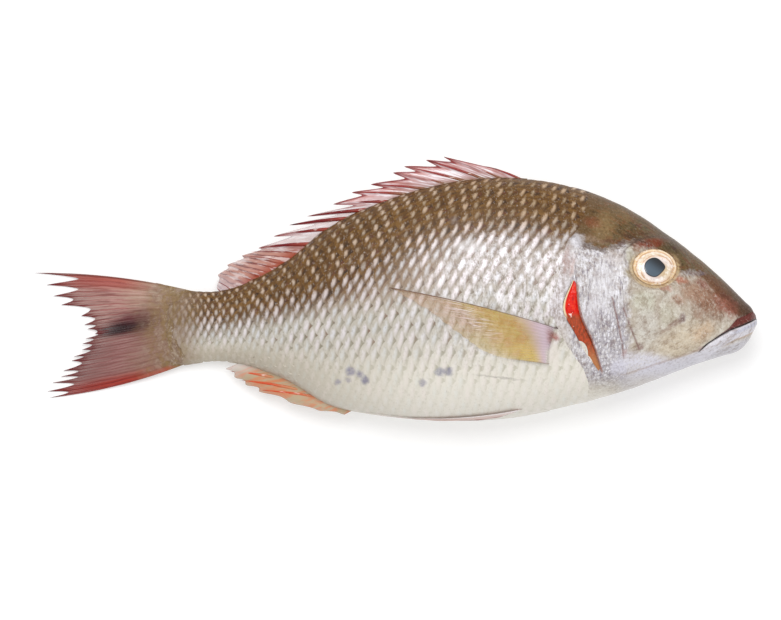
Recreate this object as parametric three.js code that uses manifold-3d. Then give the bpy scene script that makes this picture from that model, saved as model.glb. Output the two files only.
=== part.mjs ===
import * as THREE from "three";
import { mergeVertices } from "three/addons/utils/BufferGeometryUtils.js";
import Module from "manifold-3d";

// A whole raw fish, a deep-bodied emperor of market size, lying on its left side.
// A place on it is given the way a fish is measured: behind the snout, high above its long
// axis towards the back, and out from its middle plane towards the shown right side.

// Driving dimensions, in millimetres
const totalLength = 360;
const bodyDepth = 121;
const bodyWidth = 52;
const finPlate = 1.5;
const eyeLong = 23;
const eyeHigh = 19;
const eyeDeep = 9.6;
const eyeSunk = 1.6;
const eyeAt = { behind: 51, high: 27.6 };
const scaleRise = 0.4;
const gap = 0.3;

// The body's profile at stations from the snout to the root of the tail.
// Columns: behind, as a share of the length; back and belly, as shares of the depth above
// and below the axis; half, as a share of the half width.
const stations = [
  [0.0, 0.041, -0.021, 0.2],
  [0.022, 0.104, -0.104, 0.38],
  [0.051, 0.189, -0.136, 0.52],
  [0.092, 0.292, -0.175, 0.68],
  [0.175, 0.464, -0.269, 0.9],
  [0.257, 0.561, -0.338, 1.0],
  [0.339, 0.595, -0.387, 1.0],
  [0.422, 0.576, -0.398, 0.96],
  [0.504, 0.51, -0.384, 0.865],
  [0.587, 0.398, -0.336, 0.69],
  [0.648, 0.255, -0.231, 0.53],
  [0.71, 0.159, -0.168, 0.377],
  [0.756, 0.131, -0.16, 0.285],
  [0.833, 0.169, -0.2, 0.05],
];
const bodyEnd = stations[stations.length - 1][0] * totalLength;
const noseRound = 0.011 * totalLength;
const widestShare = 0.47;

const smooth = (share) => {
  const t = THREE.MathUtils.clamp(share, 0, 1);
  return t * t * (3 - 2 * t);
};

// A smooth curve through [place, value] pairs, read at a place.
function curveThrough(pairs, place) {
  const last = pairs.length - 1;
  let i = 0;
  while (i < last - 1 && place > pairs[i + 1][0]) i += 1;
  const slope = (a, b) => (pairs[b][1] - pairs[a][1]) / (pairs[b][0] - pairs[a][0]);
  const span = pairs[i + 1][0] - pairs[i][0];
  const t = THREE.MathUtils.clamp((place - pairs[i][0]) / span, 0, 1);
  const before = i > 0 ? slope(i - 1, i + 1) : slope(i, i + 1);
  const after = i + 2 <= last ? slope(i, i + 2) : slope(i, i + 1);
  const rise = pairs[i + 1][1] - pairs[i][1];
  const bend = (1 - t) * (before * span - rise) - t * (after * span - rise);
  return pairs[i][1] + t * rise + t * (1 - t) * bend;
}

const column = (index, unit) => stations.map((row) => [row[0] * totalLength, row[index] * unit]);
const backCurve = column(1, bodyDepth);
const bellyCurve = column(2, bodyDepth);
const halfCurve = column(3, bodyWidth / 2);

// The section at one place: how high the back and belly reach, where it is widest, and how wide.
function sectionAt(behind) {
  const back = curveThrough(backCurve, behind);
  const belly = curveThrough(bellyCurve, behind);
  const round = Math.sqrt(1 - (1 - Math.min(1, behind / noseRound)) ** 2);
  const middle = (back + belly) / 2;
  const widest = belly + widestShare * (back - belly);
  return {
    back: middle + (back - middle) * round,
    belly: middle + (belly - middle) * round,
    widest: middle + (widest - middle) * round,
    half: curveThrough(halfCurve, behind) * round,
  };
}

// How full the section is: 1 is an ellipse, and more draws in towards the back or the belly.
const backFullness = 1.12;
const bellyFullness = 0.95;

// Half the body's thickness at a height on the section.
function halfThickness(behind, high) {
  const cut = sectionAt(behind);
  const up = high > cut.widest;
  const reach = up ? cut.back - cut.widest : cut.widest - cut.belly;
  const share = Math.min(1, Math.abs(high - cut.widest) / reach);
  return cut.half * (1 - share * share) ** ((up ? backFullness : bellyFullness) / 2);
}

// The fish is limp: its middle plane lies at body height and sinks to the table at the tail.
const bodyRest = 24.4;
const tailRest = 0.6;
const droopFrom = 0.361 * totalLength;
const droopTo = 0.958 * totalLength;
const middlePlane = (behind) =>
  bodyRest - (bodyRest - tailRest) * smooth((behind - droopFrom) / (droopTo - droopFrom));

// The part's frame: X towards the snout, Y towards the back, Z up. The flesh is pressed flat
// on the table, and what grows on it stays a little above that.
const table = 0;
const overTable = 0.4;
const underTable = -10;
const place = (behind, high, out, lowest = overTable) =>
  new THREE.Vector3(-behind, high, Math.max(lowest, middlePlane(behind) + out));

// How far out from the middle plane the skin lies on one side.
function skinOut(side, behind, high) {
  const free = halfThickness(behind, high);
  return side > 0 ? free : Math.min(free, middlePlane(behind) - table);
}

const wasm = await Module();
wasm.setup();

// A closed geometry as a solid, with the faces that collapsed at a pole dropped and the rest
// turned to face outwards, because a left-hand piece is the right-hand one mirrored.
function solidOf(geometry) {
  const bare = geometry.clone();
  bare.deleteAttribute("normal");
  bare.deleteAttribute("uv");
  const merged = mergeVertices(bare, 1e-3);
  const spots = merged.attributes.position;
  const corners = merged.index.array;
  const corner = (i) => new THREE.Vector3().fromBufferAttribute(spots, corners[i]);
  const kept = [];
  let volume = 0;
  for (let i = 0; i < corners.length; i += 3) {
    const [a, b, c] = corners.slice(i, i + 3);
    if (a === b || b === c || c === a) continue;
    kept.push(a, b, c);
    volume += corner(i).dot(corner(i + 1).cross(corner(i + 2)));
  }
  if (volume < 0) kept.reverse();
  const mesh = { numProp: 3, vertProperties: spots.array, triVerts: new Uint32Array(kept) };
  return new wasm.Manifold(new wasm.Mesh(mesh));
}

function geometryOf(solid) {
  const mesh = solid.getMesh();
  const geometry = new THREE.BufferGeometry();
  geometry.setAttribute("position", new THREE.BufferAttribute(mesh.vertProperties, 3));
  geometry.setIndex(new THREE.BufferAttribute(mesh.triVerts, 1));
  geometry.computeVertexNormals();
  return geometry;
}

// Moves every vertex of a geometry to where a rule puts it.
function shaped(geometry, rule) {
  const spots = geometry.attributes.position;
  const from = new THREE.Vector3();
  for (let i = 0; i < spots.count; i += 1) {
    const to = rule(from.fromBufferAttribute(spots, i));
    spots.setXYZ(i, to.x, to.y, to.z);
  }
  return geometry;
}

// The gill cover's rear edge and the shoulder's edge behind it, as [high, behind] pairs.
const gillTop = 22;
const gillBottom = -24;
const coverEdge = [
  [gillBottom, 77.3],
  [-10, 81.6],
  [5, 88],
  [gillTop, 90],
];
const shoulderEdge = [
  [gillBottom, 77.8],
  [-14, 84.6],
  [-5, 89.8],
  [7.5, 95.8],
  [gillTop, 90.6],
];
const gillDeep = 3.2;
const gillBelowSkin = 0.8;
const gillCutAbove = 4;
const coverStandsOut = 1.3;
const coverFades = 14;
const coverEases = 12;

// The gill cover stands out from the shoulder and fades forwards into the cheek. It starts
// half its easing below the slit and ends a little above it.
function coverRelief(behind, high) {
  const edge = curveThrough(coverEdge, high);
  const ahead = edge - behind;
  const below = smooth((high - gillBottom) / coverEases + 0.5);
  const above = 1 - smooth((high - gillTop) / coverEases - 0.3);
  return ahead < 0 ? 0 : coverStandsOut * below * above * Math.exp(-ahead / coverFades);
}

// The rim of the eye's orbit, an oval swell round the eye.
const orbitLong = 17;
const orbitHigh = 14;
const orbitStandsOut = 1.2;
const orbitFades = 0.4;
function orbitRelief(behind, high) {
  const share = Math.hypot((behind - eyeAt.behind) / orbitLong, (high - eyeAt.high) / orbitHigh);
  return orbitStandsOut * Math.exp(-(((share - 1) / orbitFades) ** 2));
}

// The scales are a lattice of low diamonds: every second vertex of the flanks stands out.
const scalesFrom = 0.27 * totalLength;
const scalesTo = 0.79 * totalLength;

function bodySolid() {
  const around = 44;
  const headRings = 16;
  const trunkRings = 38;
  const noseRings = 4;
  const rings = noseRings + headRings + trunkRings;
  const headEnd = 0.26 * totalLength;
  const ringPlace = (ring) => {
    if (ring < noseRings) return noseRound * (1 - Math.cos((ring / noseRings) * Math.PI * 0.5));
    if (ring < noseRings + headRings)
      return noseRound + ((ring - noseRings) / headRings) * (headEnd - noseRound);
    return headEnd + ((ring - noseRings - headRings) / trunkRings) * (bodyEnd - headEnd);
  };
  const ball = new THREE.SphereGeometry(1, around, rings);
  return shaped(ball, (spot) => {
    const ring = (Math.acos(THREE.MathUtils.clamp(spot.y, -1, 1)) / Math.PI) * rings;
    const behind = ringPlace(ring);
    const atPole = Math.hypot(spot.x, spot.z) < 1e-6;
    const angle = Math.atan2(spot.x, spot.z);
    const cut = sectionAt(behind);
    if (atPole) return place(behind, (cut.back + cut.belly) / 2, 0, table);
    const rise = Math.sin(angle);
    const side = Math.cos(angle);
    const reach = rise > 0 ? cut.back - cut.widest : cut.widest - cut.belly;
    const fullness = rise > 0 ? backFullness : bellyFullness;
    const high = cut.widest + reach * rise;
    const out = Math.sign(side) * cut.half * Math.abs(side) ** fullness;
    const step = Math.round(ring) + Math.round((angle / (2 * Math.PI)) * around);
    const scaly = behind > scalesFrom && behind < scalesTo && step % 2 === 0;
    const lift = scaly ? scaleRise : coverRelief(behind, high) + orbitRelief(behind, high);
    return place(behind, high + lift * rise, out + lift * side, table);
  });
}

// A thin plate as a box bent by a rule of two shares and a side: across its rays from 0 to 1,
// along them from root to tip, and the side from -1 to 1.
function plate(across, along, rule) {
  const sheet = new THREE.BoxGeometry(1, 1, 2, across, along, 1);
  return shaped(sheet, (spot) => rule(spot.x + 0.5, spot.y + 0.5, spot.z));
}

// A point part of the way along a row of [behind, high] pairs, on a smooth curve.
function alongRow(row, share) {
  const at = share * (row.length - 1);
  return [0, 1].map((k) => curveThrough(row.map((pair, i) => [i, pair[k]]), at));
}

// A point part of the way along the straight line from one [behind, high] pair to another.
const between = (from, to, share) => [0, 1].map((k) => from[k] + (to[k] - from[k]) * share);

// A fin of the middle plane. roots and tips are rows of [behind, high] from its first ray to
// its last, and every second line of the plate is a ray, thicker than the skin between.
const skinReach = 0.94;
const skinShare = 0.7;
function middleFin(rays, along, roots, tips, rootHalf, tipHalf) {
  return plate(rays * 2, along, (across, out, side) => {
    const ray = Math.round(across * rays * 2) % 2 === 0;
    const reach = ray ? 1 : skinReach;
    const [behind, high] = between(alongRow(roots, across), alongRow(tips, across), out * reach);
    const half = (rootHalf + (tipHalf - rootHalf) * out) * (ray ? 1 : skinShare);
    return place(behind, high, side * half);
  });
}

// The tail: rays spread from the root of the tail to a forked edge.
function tailFin() {
  const roots = [
    [272, 14.5],
    [276, 8],
    [278, -2],
    [276, -12],
    [272, -18],
  ];
  const tips = [
    [358.5, 25.5],
    [351, 16],
    [338, 2],
    [329.5, -5.8],
    [335.5, -15],
    [344.5, -27],
    [351.5, -37.5],
  ];
  const rays = 17;
  return middleFin(rays, 6, roots, tips, finPlate * 0.8, finPlate * 0.42);
}

// The dorsal fin lies half folded: ten sharp spines whose skin is scooped between them,
// then soft rays. Each entry is the tip of one spine, and roots follow the back.
const dorsalTips = [
  [131, 77],
  [155, 82.4],
  [163.7, 80.8],
  [174.6, 77.6],
  [180, 74.5],
  [191.1, 68.7],
  [200.5, 64.8],
  [209.7, 58.9],
  [222.7, 52.9],
  [231.7, 48.6],
  [239.3, 43],
];
const softTips = [
  [246.6, 37.3],
  [254.7, 33.6],
  [262, 29],
  [266.8, 24],
  [267.4, 17.5],
];
const dorsalFrom = 0.31 * totalLength;
const dorsalTo = 0.735 * totalLength;
const dorsalRootDeep = 3;
const rootsCrowd = 0.15;
const spineScoop = 0.3;
const rayScoop = 0.08;
const spineHalf = finPlate * 0.62;
const webHalf = finPlate * 0.36;
const tipsThinner = 0.45;

function dorsalFin() {
  const tips = [...dorsalTips, ...softTips];
  const count = tips.length;
  const steps = 4;
  const lines = (count - 1) * steps;
  const rootOf = (share) => {
    const crowded = share - rootsCrowd * share * (1 - share);
    const behind = dorsalFrom + (dorsalTo - dorsalFrom) * crowded;
    return [behind, sectionAt(behind).back - dorsalRootDeep];
  };
  return plate(lines, 3, (across, out, side) => {
    const line = Math.round(across * lines);
    const spine = Math.min(count - 2, Math.floor(line / steps));
    const into = line / steps - spine;
    const scoop = spine < dorsalTips.length - 1 ? spineScoop : rayScoop;
    const reach = 1 - scoop * (1 - (2 * Math.abs(into - 0.5)) ** 2);
    const tip = between(tips[spine], tips[spine + 1], into);
    const [behind, high] = between(rootOf(line / lines), tip, out * reach);
    const half = (line % steps === 0 ? spineHalf : webHalf) * (1 - tipsThinner * out);
    return place(behind, high, side * half);
  });
}

// The anal fin lies folded back along the belly.
function analFin() {
  const roots = [
    [196, -41],
    [208, -37],
    [222, -30],
    [236, -22],
    [250, -17],
  ];
  const tips = [
    [204, -45.2],
    [222, -42.4],
    [246, -34],
    [256, -29],
    [263, -22.5],
  ];
  const rays = 7;
  return middleFin(rays, 4, roots, tips, finPlate * 0.7, finPlate * 0.4);
}

// A fin that lies against the flank, as a plate that follows the skin. root holds the two ends
// of its root as [behind, high], and tips the far ends of its rays.
const finUnderSkin = 1.2;
function flankFin(side, root, tips, rays, standsOut) {
  return plate(rays * 2, 6, (across, out, face) => {
    const from = between(root[0], root[1], across);
    const [behind, high] = between(from, alongRow(tips, across), out);
    const ray = Math.round(across * rays * 2) % 2 === 0;
    const lift = face > 0 ? standsOut * (ray ? 1 : skinShare) : -finUnderSkin;
    return place(behind, high, side * (skinOut(side, behind, high) + lift));
  });
}

const pectoralRays = 7;
const pectoralStandsOut = 1.3;
const pectoralRoot = [
  [98.5, -2],
  [101, -20.5],
];
const pectoralTips = [
  [181, 17.4],
  [158, 5],
  [145.5, -3.3],
  [137, -11.5],
  [129.5, -16],
  [117, -18.2],
  [103, -21.5],
];

const pelvicRays = 4;
const pelvicStandsOut = 1.5;
const pelvicRoot = [
  [118, -40],
  [126, -45],
];
const pelvicTips = [
  [190, -43.2],
  [187, -44.4],
  [178, -45.9],
  [160, -47.3],
  [134, -46.8],
];

// The gill seen in the slit behind the gill cover, as a blade that follows the skin below it.
function gillBlade(side, shrink, top, bottom) {
  return plate(9, 3, (down, over, face) => {
    const high = gillTop - shrink + (gillBottom - gillTop + 2 * shrink) * down;
    const front = curveThrough(coverEdge, high) + shrink;
    const rear = Math.max(front + gap, curveThrough(shoulderEdge, high) - shrink);
    const behind = front + (rear - front) * over;
    const skin = skinOut(side, behind, high);
    return place(behind, high, side * (skin + (face > 0 ? top : bottom)), underTable);
  });
}

// The eyeball, an oval set square to the side of the head.
function eyeBall(side, grow) {
  const ball = new THREE.SphereGeometry(1, 20, 12);
  const half = new THREE.Vector3(eyeLong, eyeHigh, eyeDeep).multiplyScalar(0.5).addScalar(grow);
  const skin = (along, up) => halfThickness(eyeAt.behind + along, eyeAt.high + up);
  const slopeAlong = (skin(1, 0) - skin(-1, 0)) / 2;
  const slopeUp = (skin(0, 1) - skin(0, -1)) / 2;
  const facing = new THREE.Vector3(slopeAlong, -slopeUp, 1).normalize();
  const turn = new THREE.Quaternion().setFromUnitVectors(new THREE.Vector3(0, 0, 1), facing);
  return shaped(ball, (spot) => {
    const local = spot.clone().multiply(half).applyQuaternion(turn);
    const out = skin(0, 0) - eyeSunk + local.z;
    return place(eyeAt.behind - local.x, eyeAt.high + local.y, side * out, underTable);
  });
}

// The mouth: a slit along the gape, as wide as the head, as [behind, high] pairs.
const gape = [
  [-3, 4.6],
  [3.2, 0.9],
  [8.6, -1.5],
  [13.5, -3.4],
  [18.4, -6.2],
  [24.5, -10.1],
  [29.2, -14.2],
];

const gapeOpening = 0.7;
function mouthSlit() {
  const corner = gape[gape.length - 1];
  const open = gape.slice(0, -1);
  const lip = (shift) => open.map(([behind, high]) => new THREE.Vector2(-behind, high + shift));
  const upper = lip(gapeOpening / 2);
  const lower = lip(-gapeOpening / 2).reverse();
  const edge = new THREE.Shape([...upper, new THREE.Vector2(-corner[0], corner[1]), ...lower]);
  const slit = new THREE.ExtrudeGeometry(edge, { depth: bodyWidth * 1.2, bevelEnabled: false });
  return slit.translate(0, 0, -bodyWidth * 0.1);
}

function wholeFish() {
  const sides = [1, -1];
  const grown = [bodySolid(), tailFin(), dorsalFin(), analFin()];
  for (const side of sides) {
    grown.push(flankFin(side, pectoralRoot, pectoralTips, pectoralRays, pectoralStandsOut));
    grown.push(flankFin(side, pelvicRoot, pelvicTips, pelvicRays, pelvicStandsOut));
  }
  const cut = [mouthSlit()];
  for (const side of sides) {
    cut.push(eyeBall(side, gap));
    cut.push(gillBlade(side, 0, gillCutAbove, -gillDeep));
  }
  const whole = grown.map(solidOf).reduce((all, piece) => all.add(piece));
  return geometryOf(cut.map(solidOf).reduce((all, piece) => all.subtract(piece), whole));
}

const materials = {
  skin: new THREE.MeshStandardMaterial({ color: 0xb0a28c, roughness: 0.35, metalness: 0.1 }),
  eye: new THREE.MeshStandardMaterial({ color: 0xd9bfa0, roughness: 0.12, metalness: 0.2 }),
  gill: new THREE.MeshStandardMaterial({ color: 0xa8301f, roughness: 0.3, metalness: 0 }),
};

function piece(name, geometry, material) {
  const mesh = new THREE.Mesh(geometry, material);
  mesh.name = name;
  return mesh;
}

const fish = new THREE.Group();
fish.add(piece("fish", wholeFish(), materials.skin));
for (const [side, hand] of [[1, "right"], [-1, "left"]]) {
  fish.add(piece("eye_" + hand, geometryOf(solidOf(eyeBall(side, 0))), materials.eye));
  const blade = gillBlade(side, gap, -gillBelowSkin, gap - gillDeep);
  fish.add(piece("gill_" + hand, geometryOf(solidOf(blade)), materials.gill));
}

// The part's origin is under the middle of its box.
const box = new THREE.Box3().setFromObject(fish);
const middle = box.getCenter(new THREE.Vector3());
fish.position.set(-middle.x, -middle.y, -box.min.z);

const root = new THREE.Group();
root.add(fish);

export default root;
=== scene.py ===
import functools
import math
import random
from bisect import bisect_left

import bmesh
import bpy
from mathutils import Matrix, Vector, noise


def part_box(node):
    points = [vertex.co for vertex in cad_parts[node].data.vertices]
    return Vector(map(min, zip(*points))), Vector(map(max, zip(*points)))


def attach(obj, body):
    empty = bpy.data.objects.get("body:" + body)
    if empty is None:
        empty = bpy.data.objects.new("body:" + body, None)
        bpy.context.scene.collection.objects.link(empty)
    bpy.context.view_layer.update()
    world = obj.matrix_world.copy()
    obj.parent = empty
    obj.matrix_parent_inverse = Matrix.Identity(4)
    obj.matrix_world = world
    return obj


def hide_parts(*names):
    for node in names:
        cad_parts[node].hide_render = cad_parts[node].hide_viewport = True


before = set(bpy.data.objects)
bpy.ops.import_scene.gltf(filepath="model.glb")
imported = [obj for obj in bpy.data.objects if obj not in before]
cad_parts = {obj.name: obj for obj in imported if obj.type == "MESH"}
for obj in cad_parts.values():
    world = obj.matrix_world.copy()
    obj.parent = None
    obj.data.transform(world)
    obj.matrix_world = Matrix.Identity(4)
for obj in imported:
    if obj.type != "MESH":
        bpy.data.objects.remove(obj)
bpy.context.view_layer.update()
print("frame loaded:", sorted(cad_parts))

mm = 0.001
tableGap = 0.05              # the fins and rods come no closer to the table, in millimetres

# The fish is measured the way a fish is: behind the snout, high above its long axis towards the
# back, and out from its middle plane. All of it is in millimetres, and stations and droop are shares.
fish = {
    "length": 360,
    "depth": 121,
    "width": 52,
    "noseRound": 3.96,
    "widest": 0.47,          # where the section is widest, from belly to back
    "backFull": 1.12,        # 1 is an ellipse, more draws the section in towards its edge
    "bellyFull": 0.95,
    "bodyRest": 24.4,        # height of the middle plane over the table, body and tail
    "tailRest": 0.6,
    "droopFrom": 0.361,
    "droopTo": 0.958,
    "dorsalTop": 82.4,       # the highest spine tip, which is the top of the frame's box
    "bodyEnd": 0.833,
    "stations": [            # behind, back, belly, half width
        (0.0, 0.041, -0.021, 0.2),
        (0.022, 0.104, -0.104, 0.38),
        (0.051, 0.189, -0.136, 0.52),
        (0.092, 0.292, -0.175, 0.68),
        (0.175, 0.464, -0.269, 0.9),
        (0.257, 0.561, -0.338, 1.0),
        (0.339, 0.595, -0.387, 1.0),
        (0.422, 0.576, -0.398, 0.96),
        (0.504, 0.51, -0.384, 0.865),
        (0.587, 0.398, -0.336, 0.69),
        (0.648, 0.255, -0.231, 0.53),
        (0.71, 0.159, -0.168, 0.377),
        (0.756, 0.131, -0.16, 0.285),
        (0.833, 0.169, -0.2, 0.05),
    ],
}
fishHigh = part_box("fish")[1]
snoutX = fishHigh.x
axisY = fishHigh.y - fish["dorsalTop"] * mm
bodyEnd = fish["bodyEnd"] * fish["length"]


def smooth(share):
    t = min(1.0, max(0.0, share))
    return t * t * (3 - 2 * t)


def curveThrough(pairs, place):          # a smooth curve through (place, value) pairs
    last = len(pairs) - 1
    i = 0
    while i < last - 1 and place > pairs[i + 1][0]:
        i += 1

    def slope(a, b):
        return (pairs[b][1] - pairs[a][1]) / (pairs[b][0] - pairs[a][0])

    span = pairs[i + 1][0] - pairs[i][0]
    t = min(1.0, max(0.0, (place - pairs[i][0]) / span))
    before = slope(i - 1, i + 1) if i > 0 else slope(i, i + 1)
    after = slope(i, i + 2) if i + 2 <= last else slope(i, i + 1)
    rise = pairs[i + 1][1] - pairs[i][1]
    bend = (1 - t) * (before * span - rise) - t * (after * span - rise)
    return pairs[i][1] + t * rise + t * (1 - t) * bend


def column(index, unit):
    return [(row[0] * fish["length"], row[index] * unit) for row in fish["stations"]]


backCurve = column(1, fish["depth"])
bellyCurve = column(2, fish["depth"])
halfCurve = column(3, fish["width"] / 2)


@functools.lru_cache(maxsize=None)
def sectionOf(behind):
    back = curveThrough(backCurve, behind)
    belly = curveThrough(bellyCurve, behind)
    nose = min(1.0, max(0.0, behind / fish["noseRound"]))
    round_ = math.sqrt(1 - (1 - nose) ** 2)
    middle = (back + belly) / 2
    widest = belly + fish["widest"] * (back - belly)
    return (middle + (back - middle) * round_, middle + (belly - middle) * round_,
            middle + (widest - middle) * round_, curveThrough(halfCurve, behind) * round_)


def sectionAt(behind):                   # back, belly, widest and half width at one place
    return sectionOf(round(behind, 2))


def halfThickness(behind, high):
    back, belly, widest, half = sectionAt(behind)
    up = high > widest
    reach = back - widest if up else widest - belly
    share = min(1.0, abs(high - widest) / reach)
    return half * (1 - share * share) ** ((fish["backFull"] if up else fish["bellyFull"]) / 2)


def middlePlane(behind):
    start = fish["droopFrom"] * fish["length"]
    end = fish["droopTo"] * fish["length"]
    droop = smooth((behind - start) / (end - start))
    return fish["bodyRest"] - (fish["bodyRest"] - fish["tailRest"]) * droop


def place(behind, high, out, lowest=0.0):
    z = max(lowest, middlePlane(behind) + out)
    return Vector((snoutX - behind * mm, axisY + high * mm, z * mm))


def skinOut(side, behind, high):         # how far the skin is from the middle plane on one side
    free = halfThickness(behind, high)
    return free if side > 0 else min(free, middlePlane(behind))


def depthShare(behind, high):            # 0 at the back, 1 at the belly
    back, belly = sectionAt(behind)[:2]
    return (back - high) / max(0.1, back - belly)


# Where the brown of the back ends: along the head, and along the flank as a share of the depth.
brownHead = [(0, 3.1), (12.4, 4.6), (27.7, 22.4), (40.5, 25.4), (51.4, 37.8), (64.8, 40.5), (74.7, 36.8),
             (84.6, 38.7), (91.5, 43.7)]
brownFlank = [(79, 0.23), (157, 0.23), (202, 0.35), (236, 0.4), (266, 0.44), (290, 0.42), (300, 0.4)]


def topLine(behind, high):               # how far above the brown's lower edge a place is
    back, belly = sectionAt(behind)[:2]
    flank = back - curveThrough(brownFlank, behind) * (back - belly)
    if behind > brownHead[-1][0]:
        return high - flank
    return high - curveThrough(brownHead, behind)


# Shader sums


def colour(red, green, blue):            # a screen colour as Blender wants it
    def linear(value):
        share = value / 255
        return share / 12.92 if share <= 0.04045 else ((share + 0.055) / 1.055) ** 2.4
    return (linear(red), linear(green), linear(blue), 1.0)


def tints(tones):                        # screen colours by name
    return {name: colour(*value) for name, value in tones.items()}


class Shade:                             # a socket that can be added, multiplied and so on
    def __init__(self, paint, socket):
        self.paint = paint
        self.socket = socket

    def __add__(self, other):
        return self.paint.maths("ADD", self, other)

    def __sub__(self, other):
        return self.paint.maths("SUBTRACT", self, other)

    def __rsub__(self, other):
        return self.paint.maths("SUBTRACT", other, self)

    def __mul__(self, other):
        return self.paint.maths("MULTIPLY", self, other)

    def __truediv__(self, other):
        return self.paint.maths("DIVIDE", self, other)

    def __pow__(self, other):
        return self.paint.maths("POWER", self, other)

    __radd__ = __add__
    __rmul__ = __mul__


class Paint:                             # one material and the nodes it is made of
    def __init__(self, name, fixed):
        self.material = bpy.data.materials.new(name)
        self.material.use_nodes = True
        self.tree = self.material.node_tree
        self.shader = self.tree.nodes["Principled BSDF"]
        for socket, value in fixed.items():
            self.shader.inputs[socket].default_value = value

    def feed(self, socket, value):
        if isinstance(value, Shade):
            self.tree.links.new(value.socket, socket)
        else:
            socket.default_value = value

    def node(self, kind, settings=None, inputs=None, output=0):
        made = self.tree.nodes.new("ShaderNode" + kind)
        for setting, value in (settings or {}).items():
            setattr(made, setting, value)
        for socket, value in (inputs or {}).items():
            self.feed(made.inputs[socket], value)
        return Shade(self, made.outputs[output])

    def maths(self, operation, first, second=0.0):
        return self.node("Math", {"operation": operation}, {0: first, 1: second})

    def rise(self, value, start, end):   # 0 before start, 1 after end, eased between
        return self.node("MapRange", {"interpolation_type": "SMOOTHSTEP"},
                         {"Value": value, "From Min": start, "From Max": end})

    def between(self, value, start, end, soft):
        return self.rise(value, start - soft, start + soft) * (1 - self.rise(value, end - soft, end + soft))

    def mix(self, first, second, share, how="MIX"):
        inputs = {0: share, 6: first, 7: second}
        return self.node("Mix", {"data_type": "RGBA", "blend_type": how}, inputs, 2)

    def wave(self, value):               # 1 at whole numbers, 0 half way between
        return self.maths("COSINE", value * (2 * math.pi)) * 0.5 + 0.5

    def mixed(self, first, second, share):
        return self.node("Mix", {"data_type": "FLOAT"}, {0: share, 2: first, 3: second})

    def join(self, x, y):
        return self.node("CombineXYZ", {}, {0: x, 1: y})

    def ramp(self, value, stops):        # screen colours at places along a value
        made = self.node("ValToRGB", {}, {0: value})
        elements = made.socket.node.color_ramp.elements
        elements[0].position, elements[1].position = stops[0][0], stops[1][0]
        for stop in stops[2:]:
            elements.new(stop[0])
        for element, stop in zip(elements, stops):
            element.color = colour(*stop[1])
        return made

    def attribute(self, name):
        return self.node("Attribute", {"attribute_name": name}, {}, "Fac")

    def where(self):                     # behind and high, read from the object's own coordinates
        spot = self.node("TexCoord", output="Object")
        x = self.node("SeparateXYZ", {}, {0: spot}, 0)
        y = self.node("SeparateXYZ", {}, {0: spot}, 1)
        return (snoutX - x) * (1 / mm), (y - axisY) * (1 / mm)

    def stretched(self, along, across):  # object coordinates, in repeats a millimetre
        spot = self.node("TexCoord", output="Object")
        return self.node("Mapping", {}, {"Vector": spot, "Scale": (along / mm, across / mm, 1 / mm)})

    def noise(self, vector, detail=3.0, roughness=0.55):
        return self.node("TexNoise", {}, {"Vector": vector, "Scale": 1.0, "Detail": detail,
                                          "Roughness": roughness})

    def bump(self, height, distance, strength):
        return self.node("Bump", {}, {"Height": height, "Distance": distance, "Strength": strength})

    def blotch(self, behind, high, centre, size, turn, soft):      # 1 inside an oval, 0 outside
        along = behind - centre[0]
        up = high - centre[1]
        first = (along * math.cos(turn) + up * math.sin(turn)) * (1 / size[0])
        second = (up * math.cos(turn) - along * math.sin(turn)) * (1 / size[1])
        return 1 - self.rise((first * first + second * second) ** 0.5, 1 - soft, 1 + soft)

    def finish(self, **links):           # what varies over the surface, by the shader's socket
        names = {"base": "Base Color", "rough": "Roughness", "coat": "Coat Weight", "alpha": "Alpha",
                 "metal": "Metallic", "normal": "Normal"}
        for link, value in links.items():
            self.feed(self.shader.inputs[names[link]], value)
        return self.material


# Making pieces


def newPiece(name, bm, material):
    mesh = bpy.data.meshes.new(name)
    bm.to_mesh(mesh)
    bm.free()
    mesh.materials.append(material)
    mesh.shade_smooth()
    piece = bpy.data.objects.new(name, mesh)
    bpy.context.scene.collection.objects.link(piece)
    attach(piece, "root")
    return piece


def boxSheet(across, along):             # a thin box, cut into a grid on its two broad faces
    bm = bmesh.new()
    bmesh.ops.create_cube(bm, size=1)

    def edgesAlong(axis):
        return [e for e in bm.edges if abs((e.verts[0].co - e.verts[1].co)[axis]) > 0.5]

    bmesh.ops.subdivide_edges(bm, edges=edgesAlong(0), cuts=across - 1, use_grid_fill=True)
    bmesh.ops.subdivide_edges(bm, edges=edgesAlong(1), cuts=along - 1, use_grid_fill=True)
    return bm


def nearestOn(line, behind, high):       # distance to a line of points, and how far along it
    best = (1e9, 0.0)
    count = len(line) - 1
    for i in range(count):
        (ax, ay), (bx, by) = line[i], line[i + 1]
        dx, dy = bx - ax, by - ay
        t = min(1.0, max(0.0, ((behind - ax) * dx + (high - ay) * dy) / (dx * dx + dy * dy)))
        gap = math.hypot(behind - ax - dx * t, high - ay - dy * t)
        if gap < best[0]:
            best = (gap, (i + t) / count)
    return best


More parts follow.
